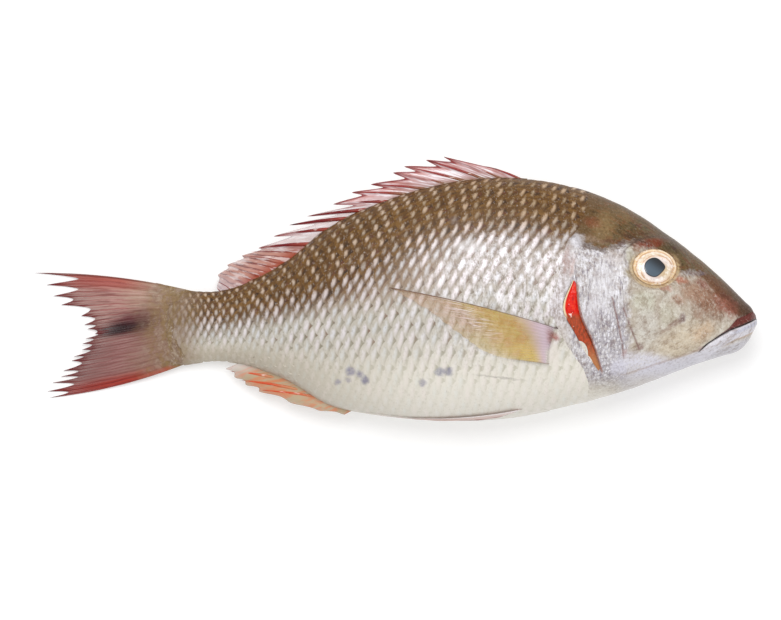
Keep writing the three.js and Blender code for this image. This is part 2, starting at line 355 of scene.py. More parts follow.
# The head's relief, as lines of (behind, high) and sizes in millimetres
head = {
    "gillTop": 22,
    "gillBottom": -24,
    "coverEdge": [(-24, 77.3), (-10, 81.6), (5, 88), (22, 90)],          # high, behind
    "shoulderEdge": [(-24, 77.8), (-14, 84.6), (-5, 89.8), (7.5, 95.8), (22, 90.6)],
    "gillDeep": 3.2,
    "coverStandsOut": 1.3,
    "coverFades": 14,
    "coverEases": 12,
    "grooves": [                         # points, depth, half width
        ([(72.2, 13.0), (70.3, 5.5), (68.7, -2.3), (67.2, -10), (66.3, -17.1)], 0.55, 0.75),
        ([(67.0, 8.6), (63.0, -2.0), (58.8, -12.7)], 0.4, 0.7),
    ],
    "ridges": {                          # place across, half width and height, or depth below zero
        "eyeRim": (1.42, 0.3, 1.1),      # the first two in sizes of the eye
        "eyeCrease": (1.13, 0.06, -0.2),
        "nostrilRim": (1.3, 0.447, 0.25),
        "nostrilHole": (0, 0.833, -0.9),
        "gape": (0, 0.42, -1.3),
        "lowerLip": (2.0, 1.5, 0.55),
        "upperLip": (1.5, 1.1, 0.3),
        "lipFold": (0, 0.7, -0.35),
    },
    "socket": (0.86, 0.2, 2.6),          # where the eye's socket begins, over how much, and its depth
    "lipOver": (0.5, 4),                 # height beside the lip's upper edge, and how far it carries
    "lipUnder": (-0.25, 1.2),
    "mouthEnd": 36,
    "grain": (0.16, 0.16, 0.07),         # bumps a millimetre, height, and height of the finer ones
    "far": 20.0,                         # what stands for a distance where nothing is near
    "gape": [(-3, 4.6), (3.2, 0.9), (8.6, -1.5), (13.5, -3.4), (18.4, -6.2), (24.5, -10.1), (29.2, -14.2)],
    "lipTop": [(-2, 8), (3.0, 5.2), (10.4, 2.2), (14.3, -2.3), (19.8, -6.3), (25.6, -11.4)],
    "lipFold": [(0.6, -3.8), (6, -7.4), (13, -9.8), (20, -12.6), (27, -15.6)],
    "nostrils": [((33.6, 24.9), 1.0), ((27.2, 24.9), 0.8)],
    "eye": (51, 27.6),
    "eyeLong": 10.85,                    # the eye's half sizes where it meets the skin
    "eyeHigh": 8.95,
}


def signedTo(line, behind, high):        # distance to a line, below zero under it
    gap = nearestOn(line, behind, high)[0]
    return gap if high > curveThrough(line, behind) else -gap


def ridge(name, gap):                    # its height at a distance from its line
    place, half, height = head["ridges"][name]
    return height * math.exp(-(((gap - place) / half) ** 2))


def fadeEnds(along, start, end):         # 0 at both ends of a line, 1 along its middle
    return smooth(along * start) * smooth((1 - along) * end)


def eyeReach(behind, high):
    centre = head["eye"]
    return math.hypot((behind - centre[0]) / head["eyeLong"], (high - centre[1]) / head["eyeHigh"])


def mouthRelief(behind, high):
    gap, along = nearestOn(head["gape"], behind, high)
    lift = ridge("gape", gap) * smooth((1 - along) * 8)
    if high < curveThrough(head["gape"], behind):
        lift += ridge("lowerLip", gap) * smooth((1 - along) * 5)
    else:
        lift += ridge("upperLip", gap) * smooth((1 - along) * 4)
    gap, along = nearestOn(head["lipTop"], behind, high)
    over = high > curveThrough(head["lipTop"], behind)
    height, carries = head["lipOver"] if over else head["lipUnder"]
    lift += height * math.exp(-gap / carries) * fadeEnds(along, 3, 4)
    gap, along = nearestOn(head["lipFold"], behind, high)
    return lift + ridge("lipFold", gap) * fadeEnds(along, 6, 4)


def headRelief(behind, high):
    h = head
    cover = curveThrough(h["coverEdge"], high)
    shoulder = curveThrough(h["shoulderEdge"], high)
    below = smooth((high - h["gillBottom"]) / h["coverEases"] + 0.5)
    above = 1 - smooth((high - h["gillTop"]) / h["coverEases"] - 0.3)
    lift = 0.0
    if behind <= cover:
        lift += h["coverStandsOut"] * below * above * math.exp(-(cover - behind) / h["coverFades"])
    if h["gillBottom"] < high < h["gillTop"]:
        inside = smooth((behind - cover) / 0.5) * (1 - smooth((behind - shoulder) / 0.9))
        ends = smooth((high - h["gillBottom"]) / 3) * smooth((h["gillTop"] - high) / 4)
        lift -= h["gillDeep"] * inside * ends
    reach = eyeReach(behind, high)
    lift += ridge("eyeRim", reach) + ridge("eyeCrease", reach)
    begins, over, deep = h["socket"]
    lift -= deep * (1 - smooth((reach - begins) / over))
    for line, deep, half in h["grooves"]:
        gap, along = nearestOn(line, behind, high)
        lift -= deep * math.exp(-((gap / half) ** 2)) * fadeEnds(along, 5, 5)
    for centre, size in h["nostrils"]:
        gap = math.hypot(behind - centre[0], high - centre[1]) / size
        lift += ridge("nostrilRim", gap) + ridge("nostrilHole", gap)
    if behind < h["mouthEnd"]:
        lift += mouthRelief(behind, high)
    often, coarse, fine = h["grain"]
    spot = Vector((behind * often, high * often, 0.3))
    return lift + coarse * noise.noise(spot) + fine * noise.noise(spot * 5)


# Where scales grow, as (high, behind) for their front border, and how they lie on the skin
scales = {
    "border": [(-48, 86), (-36, 82), (-24, 83.5), (-14, 90.4), (-5, 95.6), (7.5, 101.4), (22, 97),
               (33, 94.5), (41, 92), (48.6, 86), (61, 82), (72, 80)],
    "lastBehind": 288,
    "columns": 52,
    "rowsUp": 18,
    "rowsDown": 8,
    "firstBehind": 66,
    "pitch": [(66, 5.2), (115, 5.6), (150, 5.45), (190, 5.2), (215, 4.85), (240, 4.4), (262, 3.9),
              (300, 3.3)],               # from one column of scales to the next, along the fish
    "rowPitch": [(60, 6.0), (95, 7.0), (125, 7.85), (150, 7.8), (170, 7.3), (190, 6.5), (215, 5.6),
                 (240, 4.95), (262, 4.25), (300, 3.4)],
    "rowZero": -22,          # the height of the row that runs straight along the fish
    "crowdUp": 0.0093,       # rows lie closer towards the back and towards the belly
    "crowdDown": 0.012,
    "crowdBelow": 0.1,       # how much closer every row below the straight one lies
    "seat": 0.45,            # how far the skin lies below the scales' outside
    "lift": 0.34,
    "thick": 0.1,
    "front": -1.05,          # the scale's ends, in pitches from its centre
    "rear": 0.66,
    "halfHigh": 1.08,
    "jitter": 0.05,
    "sides": 20,             # of the plate's outline
    "rim": 0.6,              # the rim's height, and the bevel's width and height, as shares of the plate
    "bevel": (0.3, 0.4),
    "uneven": 0.06,          # how much the scales' heights differ
    "margins": (1.5, 2.2),   # how far they stay off the belly's and the back's edge
    "raggedRear": (2.5, 1.7, 0.12),      # swing, swings a millimetre, and how much it draws in
    "grid": 10.0,            # how far apart the array sets the plates before they are laid on the skin
    "seed": 7,
    "calmBelly": (0.52, 0.22, 0.85),     # where the scales grow flatter, over how much, and by how much
    "calmTail": (258, 26, 0.6),
    "calmLeast": 0.15,
    "raised": 0.25,          # how far flat scales are raised, so that the skin stays under them
    "lowest": 0.06,
    "lean": (0.0026, 0.02),  # the shear of the rows towards the head: what grows, and what comes off
    "leanTail": (200, 45, 0.13),         # where more comes off, over how much, and how much
}


def scaly(behind, high):                 # 0 on bare skin, 1 where scales grow
    edge = curveThrough(scales["border"], high)
    return smooth((behind - edge) / 4) * (1 - smooth((behind - scales["lastBehind"]) / 8))


# The skin: a ball drawn over the fish's sections, with many rings on the head
skin = {
    "around": 288,
    "noseRings": 8,
    "headRings": 196,
    "trunkRings": 86,
    "headEnd": 102,
    "reliefEnd": 110,
    "linesEnd": 45,          # how far back the distances to the mouth's lines are needed
    "tailPinch": (0.8, 12),  # how much thinner the body gets past the scales, and over how much
}


def ringPlace(ring):
    nose, heads = skin["noseRings"], skin["headRings"]
    if ring < nose:
        return fish["noseRound"] * (1 - math.cos(ring / nose * math.pi / 2))
    if ring < nose + heads:
        return fish["noseRound"] + (ring - nose) / heads * (skin["headEnd"] - fish["noseRound"])
    return skin["headEnd"] + (ring - nose - heads) / skin["trunkRings"] * (bodyEnd - skin["headEnd"])


def makeSkin(material):
    rings = skin["noseRings"] + skin["headRings"] + skin["trunkRings"]
    bm = bmesh.new()
    bmesh.ops.create_uvsphere(bm, u_segments=skin["around"], v_segments=rings, radius=1)
    names = ("depthShare", "topLine", "eyeReach", "gape", "lipTop", "groove", "gillEdge")
    layers = {name: bm.verts.layers.float.new(name) for name in names}
    thinner, over = skin["tailPinch"]
    for vert in bm.verts:
        behind = ringPlace(math.acos(min(1.0, max(-1.0, vert.co.z))) / math.pi * rings)
        back, belly, widest, half = sectionAt(behind)
        if math.hypot(vert.co.x, vert.co.y) < 1e-6:
            high = (back + belly) / 2
            vert.co = place(behind, high, 0)
        else:
            angle = math.atan2(vert.co.y, vert.co.x)
            rise, side = math.sin(angle), math.cos(angle)
            reach = back - widest if rise > 0 else widest - belly
            full = fish["backFull"] if rise > 0 else fish["bellyFull"]
            high = widest + reach * rise
            out = math.copysign(half * abs(side) ** full, side)
            grown = scaly(behind, high)
            relief = headRelief(behind, high) if behind < skin["reliefEnd"] else 0
            lift = -scales["seat"] * grown + (1 - grown) * relief
            slope = Vector((reach * side, half * rise)).normalized()
            out *= 1 - thinner * smooth((behind - scales["lastBehind"]) / over)
            vert.co = place(behind, high + lift * slope.y, out + lift * slope.x, scales["seat"] * grown)
        vert[layers["depthShare"]] = depthShare(behind, high)
        vert[layers["topLine"]] = topLine(behind, high)
        vert[layers["eyeReach"]] = min(4.0, eyeReach(behind, high))
        atMouth = behind < skin["linesEnd"]
        for line in ("gape", "lipTop"):
            vert[layers[line]] = signedTo(head[line], behind, high) if atMouth else head["far"]
        nearGrooves = 50 < behind < 80 and high < 20
        gaps = [nearestOn(groove[0], behind, high)[0] for groove in head["grooves"] if nearGrooves]
        vert[layers["groove"]] = min(gaps, default=head["far"])
        vert[layers["gillEdge"]] = curveThrough(head["coverEdge"], high) - behind
    bmesh.ops.recalc_face_normals(bm, faces=bm.faces)
    return newPiece("skin", bm, material)


# The flank as a map: a place behind the snout and a distance over the skin from the straight row


class Flank:
    step = 2.0               # between two sections, along the fish
    first = 60.0
    cuts = 160               # spots round a section, from the belly to the back
    probe = 0.6              # how far apart the slope over the skin is measured

    def __init__(self):
        self.rows = []
        behind = self.first
        while behind < bodyEnd + 1:
            self.rows.append(self.section(min(behind, bodyEnd - 0.5)))
            behind += self.step

    def section(self, behind):
        back, belly, widest, half = sectionAt(behind)
        spots = []
        for k in range(self.cuts + 1):
            angle = -math.pi / 2 + math.pi * k / self.cuts
            rise, side = math.sin(angle), max(0.0, math.cos(angle))
            reach = back - widest if rise > 0 else widest - belly
            full = fish["backFull"] if rise > 0 else fish["bellyFull"]
            spots.append((widest + reach * rise, half * side ** full))
        arcs = [0.0]
        for a, b in zip(spots, spots[1:]):
            arcs.append(arcs[-1] + math.hypot(b[0] - a[0], b[1] - a[1]))
        zero = scales["rowZero"] - belly
        if zero > 0:
            k = next(k for k in range(self.cuts) if spots[k + 1][0] >= scales["rowZero"])
            share = (scales["rowZero"] - spots[k][0]) / (spots[k + 1][0] - spots[k][0])
            zero = arcs[k] + share * (arcs[k + 1] - arcs[k])
        return [arc - zero for arc in arcs], spots

    def onSection(self, row, arc):
        arcs, spots = self.rows[row]
        k = min(len(arcs) - 1, max(1, bisect_left(arcs, arc)))
        t = min(1.0, max(0.0, (arc - arcs[k - 1]) / (arcs[k] - arcs[k - 1])))
        a, b = spots[k - 1], spots[k]
        return a[0] + t * (b[0] - a[0]), a[1] + t * (b[1] - a[1])

    def spot(self, behind, arc):         # high and out
        at = min(len(self.rows) - 1.001, max(0.0, (behind - self.first) / self.step))
        row = int(at)
        t = at - row
        a, b = self.onSection(row, arc), self.onSection(row + 1, arc)
        return a[0] + t * (b[0] - a[0]), a[1] + t * (b[1] - a[1])

    def reach(self, behind):             # the arcs at the belly and at the back
        row = min(len(self.rows) - 1, max(0, round((behind - self.first) / self.step)))
        return self.rows[row][0][0], self.rows[row][0][-1]

    def point(self, behind, arc):        # a spot and the way out of the skin there
        high, out = self.spot(behind, arc)
        spot = Vector((-behind, high, out))
        ahead = Vector((-behind + 1, *self.spot(behind - 1, arc)))
        above = Vector((-behind, *self.spot(behind, arc + self.probe)))
        below = Vector((-behind, *self.spot(behind, arc - self.probe)))
        return high, out, (ahead - spot).cross(above - below).normalized()


flank = Flank()
print("flank mapped")


def lean(behind, arc):                   # how far the rows are sheared towards the head, going up
    grows, less = scales["lean"]
    begins, over, tailLess = scales["leanTail"]
    return arc * (grows * arc - less - tailLess * smooth((behind - begins) / over))


def arcOf(behind, row):                  # the distance of a row from the straight one
    crowd = scales["crowdUp"] * row if row > 0 else scales["crowdBelow"] - scales["crowdDown"] * row
    return curveThrough(scales["rowPitch"], behind) * row * (1 - crowd)


columnPlaces = [scales["firstBehind"]]
while len(columnPlaces) < scales["columns"] + 2:
    columnPlaces.append(columnPlaces[-1] + curveThrough(scales["pitch"], columnPlaces[-1]))


def scalePlates(name):                   # flat plates with a raised rim, set out in rows and columns
    s = scales
    width, height = s["bevel"]
    bm = bmesh.new()
    bmesh.ops.create_circle(bm, cap_ends=True, segments=s["sides"], radius=1)
    grown = bmesh.ops.extrude_face_region(bm, geom=bm.faces[:])
    upper = [v for v in grown["geom"] if isinstance(v, bmesh.types.BMVert)]
    bmesh.ops.translate(bm, verts=upper, vec=(0, 0, s["rim"]))
    top = [f for f in bm.faces if all(v in upper for v in f.verts)]
    bmesh.ops.inset_individual(bm, faces=top, thickness=width, depth=height)
    bmesh.ops.poke(bm, faces=top)
    bmesh.ops.recalc_face_normals(bm, faces=bm.faces)
    for edge in bm.edges:
        edge.smooth = not all(abs(v.co.z - s["rim"]) < 0.01 for v in edge.verts)
    mesh = bpy.data.meshes.new(name + "Array")
    bm.to_mesh(mesh)
    bm.free()
    block = bpy.data.objects.new(name + "Array", mesh)
    bpy.context.scene.collection.objects.link(block)
    for axis, count in ((0, s["columns"]), (1, s["rowsUp"] + s["rowsDown"] + 1)):
        array = block.modifiers.new("array", "ARRAY")
        array.use_relative_offset = False
        array.use_constant_offset = True
        array.constant_offset_displace = [s["grid"] if k == axis else 0.0 for k in range(3)]
        array.count = count
    bm = bmesh.new()
    bm.from_object(block, bpy.context.evaluated_depsgraph_get())
    bpy.data.objects.remove(block)
    return bm


def scaleCentre(i, j):                   # where one scale sits, if it is kept, and its column's pitch
    s = scales
    row = j - s["rowsDown"]
    pitch = columnPlaces[i + 1] - columnPlaces[i]
    u = columnPlaces[i] + 0.5 * (j % 2) * pitch
    arc = arcOf(u, row)
    behind = u - lean(u, arc)
    belly, back = flank.reach(behind)
    kept = belly + s["margins"][0] < arc < back - s["margins"][1]
    if kept:
        high = flank.spot(behind, arc)[0]
        swing, often, drawsIn = s["raggedRear"]
        last = s["lastBehind"] + swing * math.sin(high * often) - drawsIn * abs(high)
        kept = curveThrough(s["border"], high) < behind < last
    return u, row, kept, pitch


def scaleLattice(name, side, material):  # overlapping scales, laid on the skin
    s = scales
    bm = scalePlates(name)
    layers = {word: bm.verts.layers.float.new(word)
              for word in ("along", "across", "tone", "depthShare", "topLine")}
    draw = random.Random(s["seed"])
    tones = {}
    centres = {}
    for j in range(s["rowsUp"] + s["rowsDown"] + 1):
        for i in range(s["columns"]):
            centres[i, j] = scaleCentre(i, j)
            tones[i, j] = draw.random()
    unwanted = []
    grid = s["grid"]
    bellyFrom, bellyOver, bellyCalm = s["calmBelly"]
    tailFrom, tailOver, tailCalm = s["calmTail"]
    for vert in bm.verts:
        i, j = round(vert.co.x / grid), round(vert.co.y / grid)
        u, row, kept, pitch = centres[i, j]
        if not kept:
            unwanted.append(vert)
            continue
        localX, localY, top = vert.co.x - grid * i, vert.co.y - grid * j, vert.co.z
        along = (s["front"] + s["rear"]) / 2 + localX * (s["rear"] - s["front"]) / 2
        across = localY * s["halfHigh"]
        arc = arcOf(u, row + across + s["jitter"] * math.sin(tones[i, j] * 40))
        behind = u + (along + s["jitter"] * math.sin(tones[i, j] * 97)) * pitch - lean(u, arc)
        high, out, facing = flank.point(behind, arc)
        rise = (along - s["front"]) / (s["rear"] - s["front"])
        share = depthShare(behind, high)
        calm = 1 - bellyCalm * smooth((share - bellyFrom) / bellyOver)
        calm -= tailCalm * smooth((behind - tailFrom) / tailOver)
        rough = s["uneven"] * (tones[i, j] - 0.5)
        relief = s["lift"] * rise + s["thick"] * top
        lift = -s["seat"] + (relief + rough) * max(s["calmLeast"], calm) + s["raised"] * (1 - calm)
        spot = Vector((-behind, high, out)) + facing * lift
        lowest = s["lowest"] + (relief * 0.6 if side < 0 else 0)
        vert.co = place(-spot.x, spot.y, side * spot.z, lowest)
        vert[layers["along"]] = along + 1 - s["rear"]
        vert[layers["across"]] = across
        vert[layers["tone"]] = tones[i, j]
        vert[layers["depthShare"]] = share
        vert[layers["topLine"]] = topLine(behind, high)
    bmesh.ops.delete(bm, geom=unwanted, context="VERTS")
    if side < 0:
        bmesh.ops.reverse_faces(bm, faces=bm.faces)
    print(name, len(bm.verts), "points")
    return newPiece(name, bm, material)


# The skin's and the scales' colours
tint = tints({
    "back": (92, 61, 22),
    # the Pocket tones: each scale's dark front, its own pigment together with painted shade under the edge
    # of the scale ahead
    "backPocket": (54, 34, 16),
    "backPearl": (187, 169, 148),
    "napePearl": (180, 156, 126),
    "flank": (140, 117, 94),
    "flankPocket": (100, 76, 60),
    "flankPearl": (203, 197, 197),
    "rearFlank": (174, 168, 158),
    "lowFlank": (189, 184, 173),
    "lowFlankPocket": (134, 129, 111),
    "lowFlankPearl": (220, 218, 219),
    # the silver tones: the front flank's silver skin, made paler by a painted sheen
    "silver": (178, 168, 160),
    "silverPocket": (136, 122, 110),
    "silverPearl": (224, 221, 227),
    "belly": (222, 217, 206),
    "bellyPocket": (188, 184, 166),
    "bellyPearl": (232, 229, 222),
    "tailBelly": (164, 152, 132),
    "tailRoot": (132, 108, 90),
    "tailOlive": (132, 108, 74),
    "nape": (99, 72, 38),
    "crown": (101, 77, 42),
    "crownGreen": (100, 86, 54),
    "rust": (128, 72, 40),
    "snoutTop": (74, 44, 26),
    "cheek": (178, 166, 150),
    "cheekPale": (202, 196, 184),
    "cover": (196, 192, 192),
    "coverShade": (136, 128, 138),
    "coverGlint": (236, 236, 244),
    "jaw": (198, 196, 202),
    "lowerLip": (214, 212, 220),
    "upperLip": (104, 44, 36),
    "crescent": (208, 206, 216),
    "rootPale": (158, 140, 120),
    "rootSpeckle": (176, 156, 136),
    "rootDark": (98, 68, 50),
    "pearlWarm": (255, 240, 240),
    "pearlCool": (232, 244, 250),
    "golden": (146, 106, 50),
    "ruddy": (118, 62, 40),
    "silverFleck": (126, 112, 100),
    "silverGlare": (252, 250, 255),
    "scaleGrain": (158, 146, 136),
    "scalePaleFlecks": (236, 228, 220),
    "coverStain": (144, 126, 120),
    "coverPale": (234, 232, 240),
    "flankSkinDark": (140, 122, 112),
    "flankSkinPale": (240, 238, 246),
    "crownDark": (66, 50, 28),
    "crownRim": (78, 54, 36),
    "crescentEdge": (160, 132, 124),
    "eyeRim": (190, 164, 122),
    "eyeRimEdge": (124, 92, 66),
    "browLine": (72, 46, 30),
    "eyeSeamShade": (96, 72, 54),
    "groove": (120, 84, 78),
    "upperLipRear": (170, 140, 142),
    "upperLipDark": (60, 26, 22),
    "lipShadow": (176, 178, 196),
    "lipFold": (190, 140, 112),
    "gape": (38, 24, 24),
    "gillRim": (150, 92, 74),
    "faceMottle": (176, 152, 134),
    "faceGrain": (166, 150, 140),
    "faceGlintFlecks": (244, 240, 236),
})


def patches(paint, base, behind, high, rows, ragged, worn):      # listed patches, ragged by noise
    drift = paint.noise(paint.stretched(0.24, 0.24), 5.0, 0.7) - 0.5
    other = paint.noise(paint.stretched(0.33, 0.29), 5.0, 0.7) - 0.5
    holes = 1 - paint.rise(paint.noise(paint.stretched(0.7, 0.6), 4.0, 0.7), 0.44, 0.64) * worn
    behind = behind + drift * (ragged * 2)
    high = high + other * (ragged * 2)
    for centre, size, turn, tone, strength in rows:
        share = paint.blotch(behind, high, centre, size, turn, 0.6)
        base = paint.mix(base, colour(*tone), share * holes * strength)
    return base


def zones(paint, behind):                # masks of the back, belly and silver front, ragged by noise; the silver front is the fish's silver skin with a painted sheen
    drift = paint.noise(paint.stretched(0.05, 0.09), 3.0) - 0.5
    back = paint.rise(paint.attribute("topLine") + drift * 10, -12, 4)
    lower = paint.rise(behind, 170, 250) * 0.06
    belly = paint.rise(paint.attribute("depthShare") + drift * 0.12 - lower, 0.57, 0.84)
    silver = paint.rise(0 - behind + drift * 50, -178, -132) * (1 - back) * (1 - belly)
    return back, belly, silver


def rootTone(paint):                     # the mottled bare skin where the body runs into the tail
    mottle = paint.noise(paint.stretched(0.13, 0.11), 6.0, 0.7)
    whole = paint.mix(tint["tailRoot"], tint["tailOlive"], paint.rise(mottle, 0.46, 0.56))
    whole = paint.mix(whole, tint["rootPale"], paint.rise(0.5 - mottle, 0.02, 0.12) * 0.7)
    speckle = paint.noise(paint.stretched(0.4, 0.4), 4.0, 0.75)
    whole = paint.mix(whole, tint["rootSpeckle"], paint.rise(speckle, 0.52, 0.66) * 0.35)
    return paint.mix(whole, tint["rootDark"], paint.rise(0.5 - speckle, 0.02, 0.16) * 0.35)


flankPatches = [                         # centre, size, turn, colour, strength
    ((201, -23.5), (2.4, 2.0), 0.3, (128, 124, 146), 0.8),
    ((196.5, -25), (1.6, 1.5), 0, (120, 116, 140), 0.75),
    ((207, -29), (1.6, 1.4), 0, (130, 126, 146), 0.7),
    ((202, -28), (1.4, 1.3), 0, (140, 134, 150), 0.6),
    ((193.8, -28), (1.9, 2.1), 0, (112, 108, 134), 0.8),
    ((157, -24), (2.3, 2.0), 0, (128, 128, 146), 0.8),
    ((152.8, -23.6), (2.2, 1.8), 0.5, (120, 118, 140), 0.8),
    ((165.5, -29.3), (1.7, 1.7), 0, (136, 132, 150), 0.8),
    ((150, 51), (2.4, 2.0), 0.4, (92, 74, 74), 0.5),
    ((142, 38), (7, 3), 0, (226, 224, 226), 0.45),
    ((98.6, -2.2), (2.0, 0.7), 0, (64, 42, 34), 0.9),
    ((100.4, -6.6), (2.6, 1.5), 0.5, (150, 66, 50), 0.8),
    ((101.8, -15.6), (3.2, 4.4), 0.2, (224, 216, 208), 0.8),
    ((128, -26.6), (11, 0.5), 0.12, (150, 144, 138), 0.5),
]


def scaleFlecks(paint, whole, belly, silver):        # flecks, glare and grain over the scales
    flecks = paint.noise(paint.stretched(0.85, 0.42), 5.0, 0.75)
    front = silver * paint.rise(flecks, 0.5, 0.6)
    whole = paint.mix(whole, tint["silverFleck"], front * 0.65)
    # the glare is a painted highlight over the silver front
    glare = paint.noise(paint.stretched(0.3, 0.14), 5.0, 0.7)
    whole = paint.mix(whole, tint["silverGlare"], paint.rise(glare, 0.48, 0.64) * silver * 0.5)
    grain = paint.noise(paint.stretched(1.1, 0.6), 5.0, 0.7)
    dark = paint.rise(grain, 0.54, 0.72) * (0.55 - belly * 0.25)
    whole = paint.mix(whole, tint["scaleGrain"], dark, "MULTIPLY")
    # pale flecks where the grain is low
    return paint.mix(whole, tint["scalePaleFlecks"], paint.rise(0.5 - grain, 0.05, 0.2) * (0.3 - belly * 0.1))


def scaleMaterial():
    paint = Paint("scales", {"Coat Roughness": 0.16, "IOR": 1.38})
    behind, high = paint.where()
    back, belly, silver = zones(paint, behind)
    along, across, tone = (paint.attribute(word) for word in ("along", "across", "tone"))
    bright = paint.rise(paint.attribute("topLine"), -4, 14)
    rear = paint.rise(behind, 198, 265)
    forward = 1 - paint.rise(behind, 120, 190)
    tailward = paint.rise(behind, 150, 260)
    share = paint.attribute("depthShare")
    rearShare = {"": 0.8, "Pocket": 0.4, "Pearl": 0.0}
    tailShare = {"": 0.8, "Pocket": 0.4, "Pearl": 0.6}

    def zoned(name, over):
        whole = paint.mix(tint["flank" + name], tint["silver" + name], silver * 0.85)
        whole = paint.mix(whole, tint["rearFlank"], rear * rearShare[name])
        whole = paint.mix(whole, tint["lowFlank" + name], paint.rise(share, 0.36, 0.56) * 0.85)
        whole = paint.mix(whole, tint["belly" + name], belly)
        whole = paint.mix(whole, tint["tailBelly"], belly * tailward * tailShare[name])
        return paint.mix(whole, tint["back" + name], over)

    base, pocketShade, pearl = zoned("", back), zoned("Pocket", back), zoned("Pearl", bright)
    pearl = paint.mix(pearl, tint["napePearl"], bright * forward)
    warm = paint.mix(tint["pearlWarm"], tint["pearlCool"], paint.rise(tone, 0.15, 0.85))
    pearl = paint.mix(pearl, warm, 0.4, "MULTIPLY")
    golden = paint.noise(paint.stretched(0.12, 0.2), 4.0, 0.6)
    base = paint.mix(base, tint["golden"], paint.rise(golden, 0.42, 0.66) * back * 0.4)
    ruddy = paint.noise(paint.stretched(0.16, 0.12), 4.0, 0.6)
    pocketShade = paint.mix(pocketShade, tint["ruddy"], paint.rise(ruddy, 0.48, 0.62) * (1 - belly) * 0.5)

    wander = paint.noise(paint.stretched(0.7, 0.4), 3.0) - 0.5
    slanted = along + across * (0.2 - bright * 0.3)
    first = (slanted - 0.6 + wander * 0.3) / (0.22 - bright * 0.05 + silver * 0.05)
    second = (across + wander * 0.3) / (0.56 - bright * 0.22)
    reach = (first * first + second * second) ** 0.5
    spot = 1 - paint.rise(reach + wander * 1.3 + (tone - 0.5) * 0.3, 0.15, 1.5)
    faint = paint.rise(tone, 0.3, 1.0)
    spot = spot * (1 - bright * faint * 0.3) * (1 - faint * 0.3) * (1 - belly * 0.4)
    # the scale's front, darkened by its pigment and by painted shade where the scale ahead overlaps it
    shade = paint.blotch(slanted - belly * 0.22, across, (0.12, -0.06), (0.28, 0.7), 0.0, 0.9)
    whole = paint.mix(base, pocketShade, shade * (1 - tone * 0.4) * (1 - paint.rise(share, 0.76, 0.92) * 0.7))
    whole = scaleFlecks(paint, paint.mix(whole, pearl, spot), belly, silver)
    stray = (paint.noise(paint.stretched(0.16, 0.2), 5.0, 0.7) - 0.5) * 14
    whole = paint.mix(whole, rootTone(paint), paint.rise(behind + stray, 270, 288) * 0.8)
    whole = patches(paint, whole, behind, high, flankPatches, 1.5, 0.4)
    ridges = paint.noise(paint.stretched(2.2, 0.5), 2.0)
    return paint.finish(base=whole, rough=0.46 - spot * 0.14, coat=0.18 - back * 0.13,
                        metal=spot * 0.1 * (1 - belly), normal=paint.bump(ridges, 0.00006, 0.7))


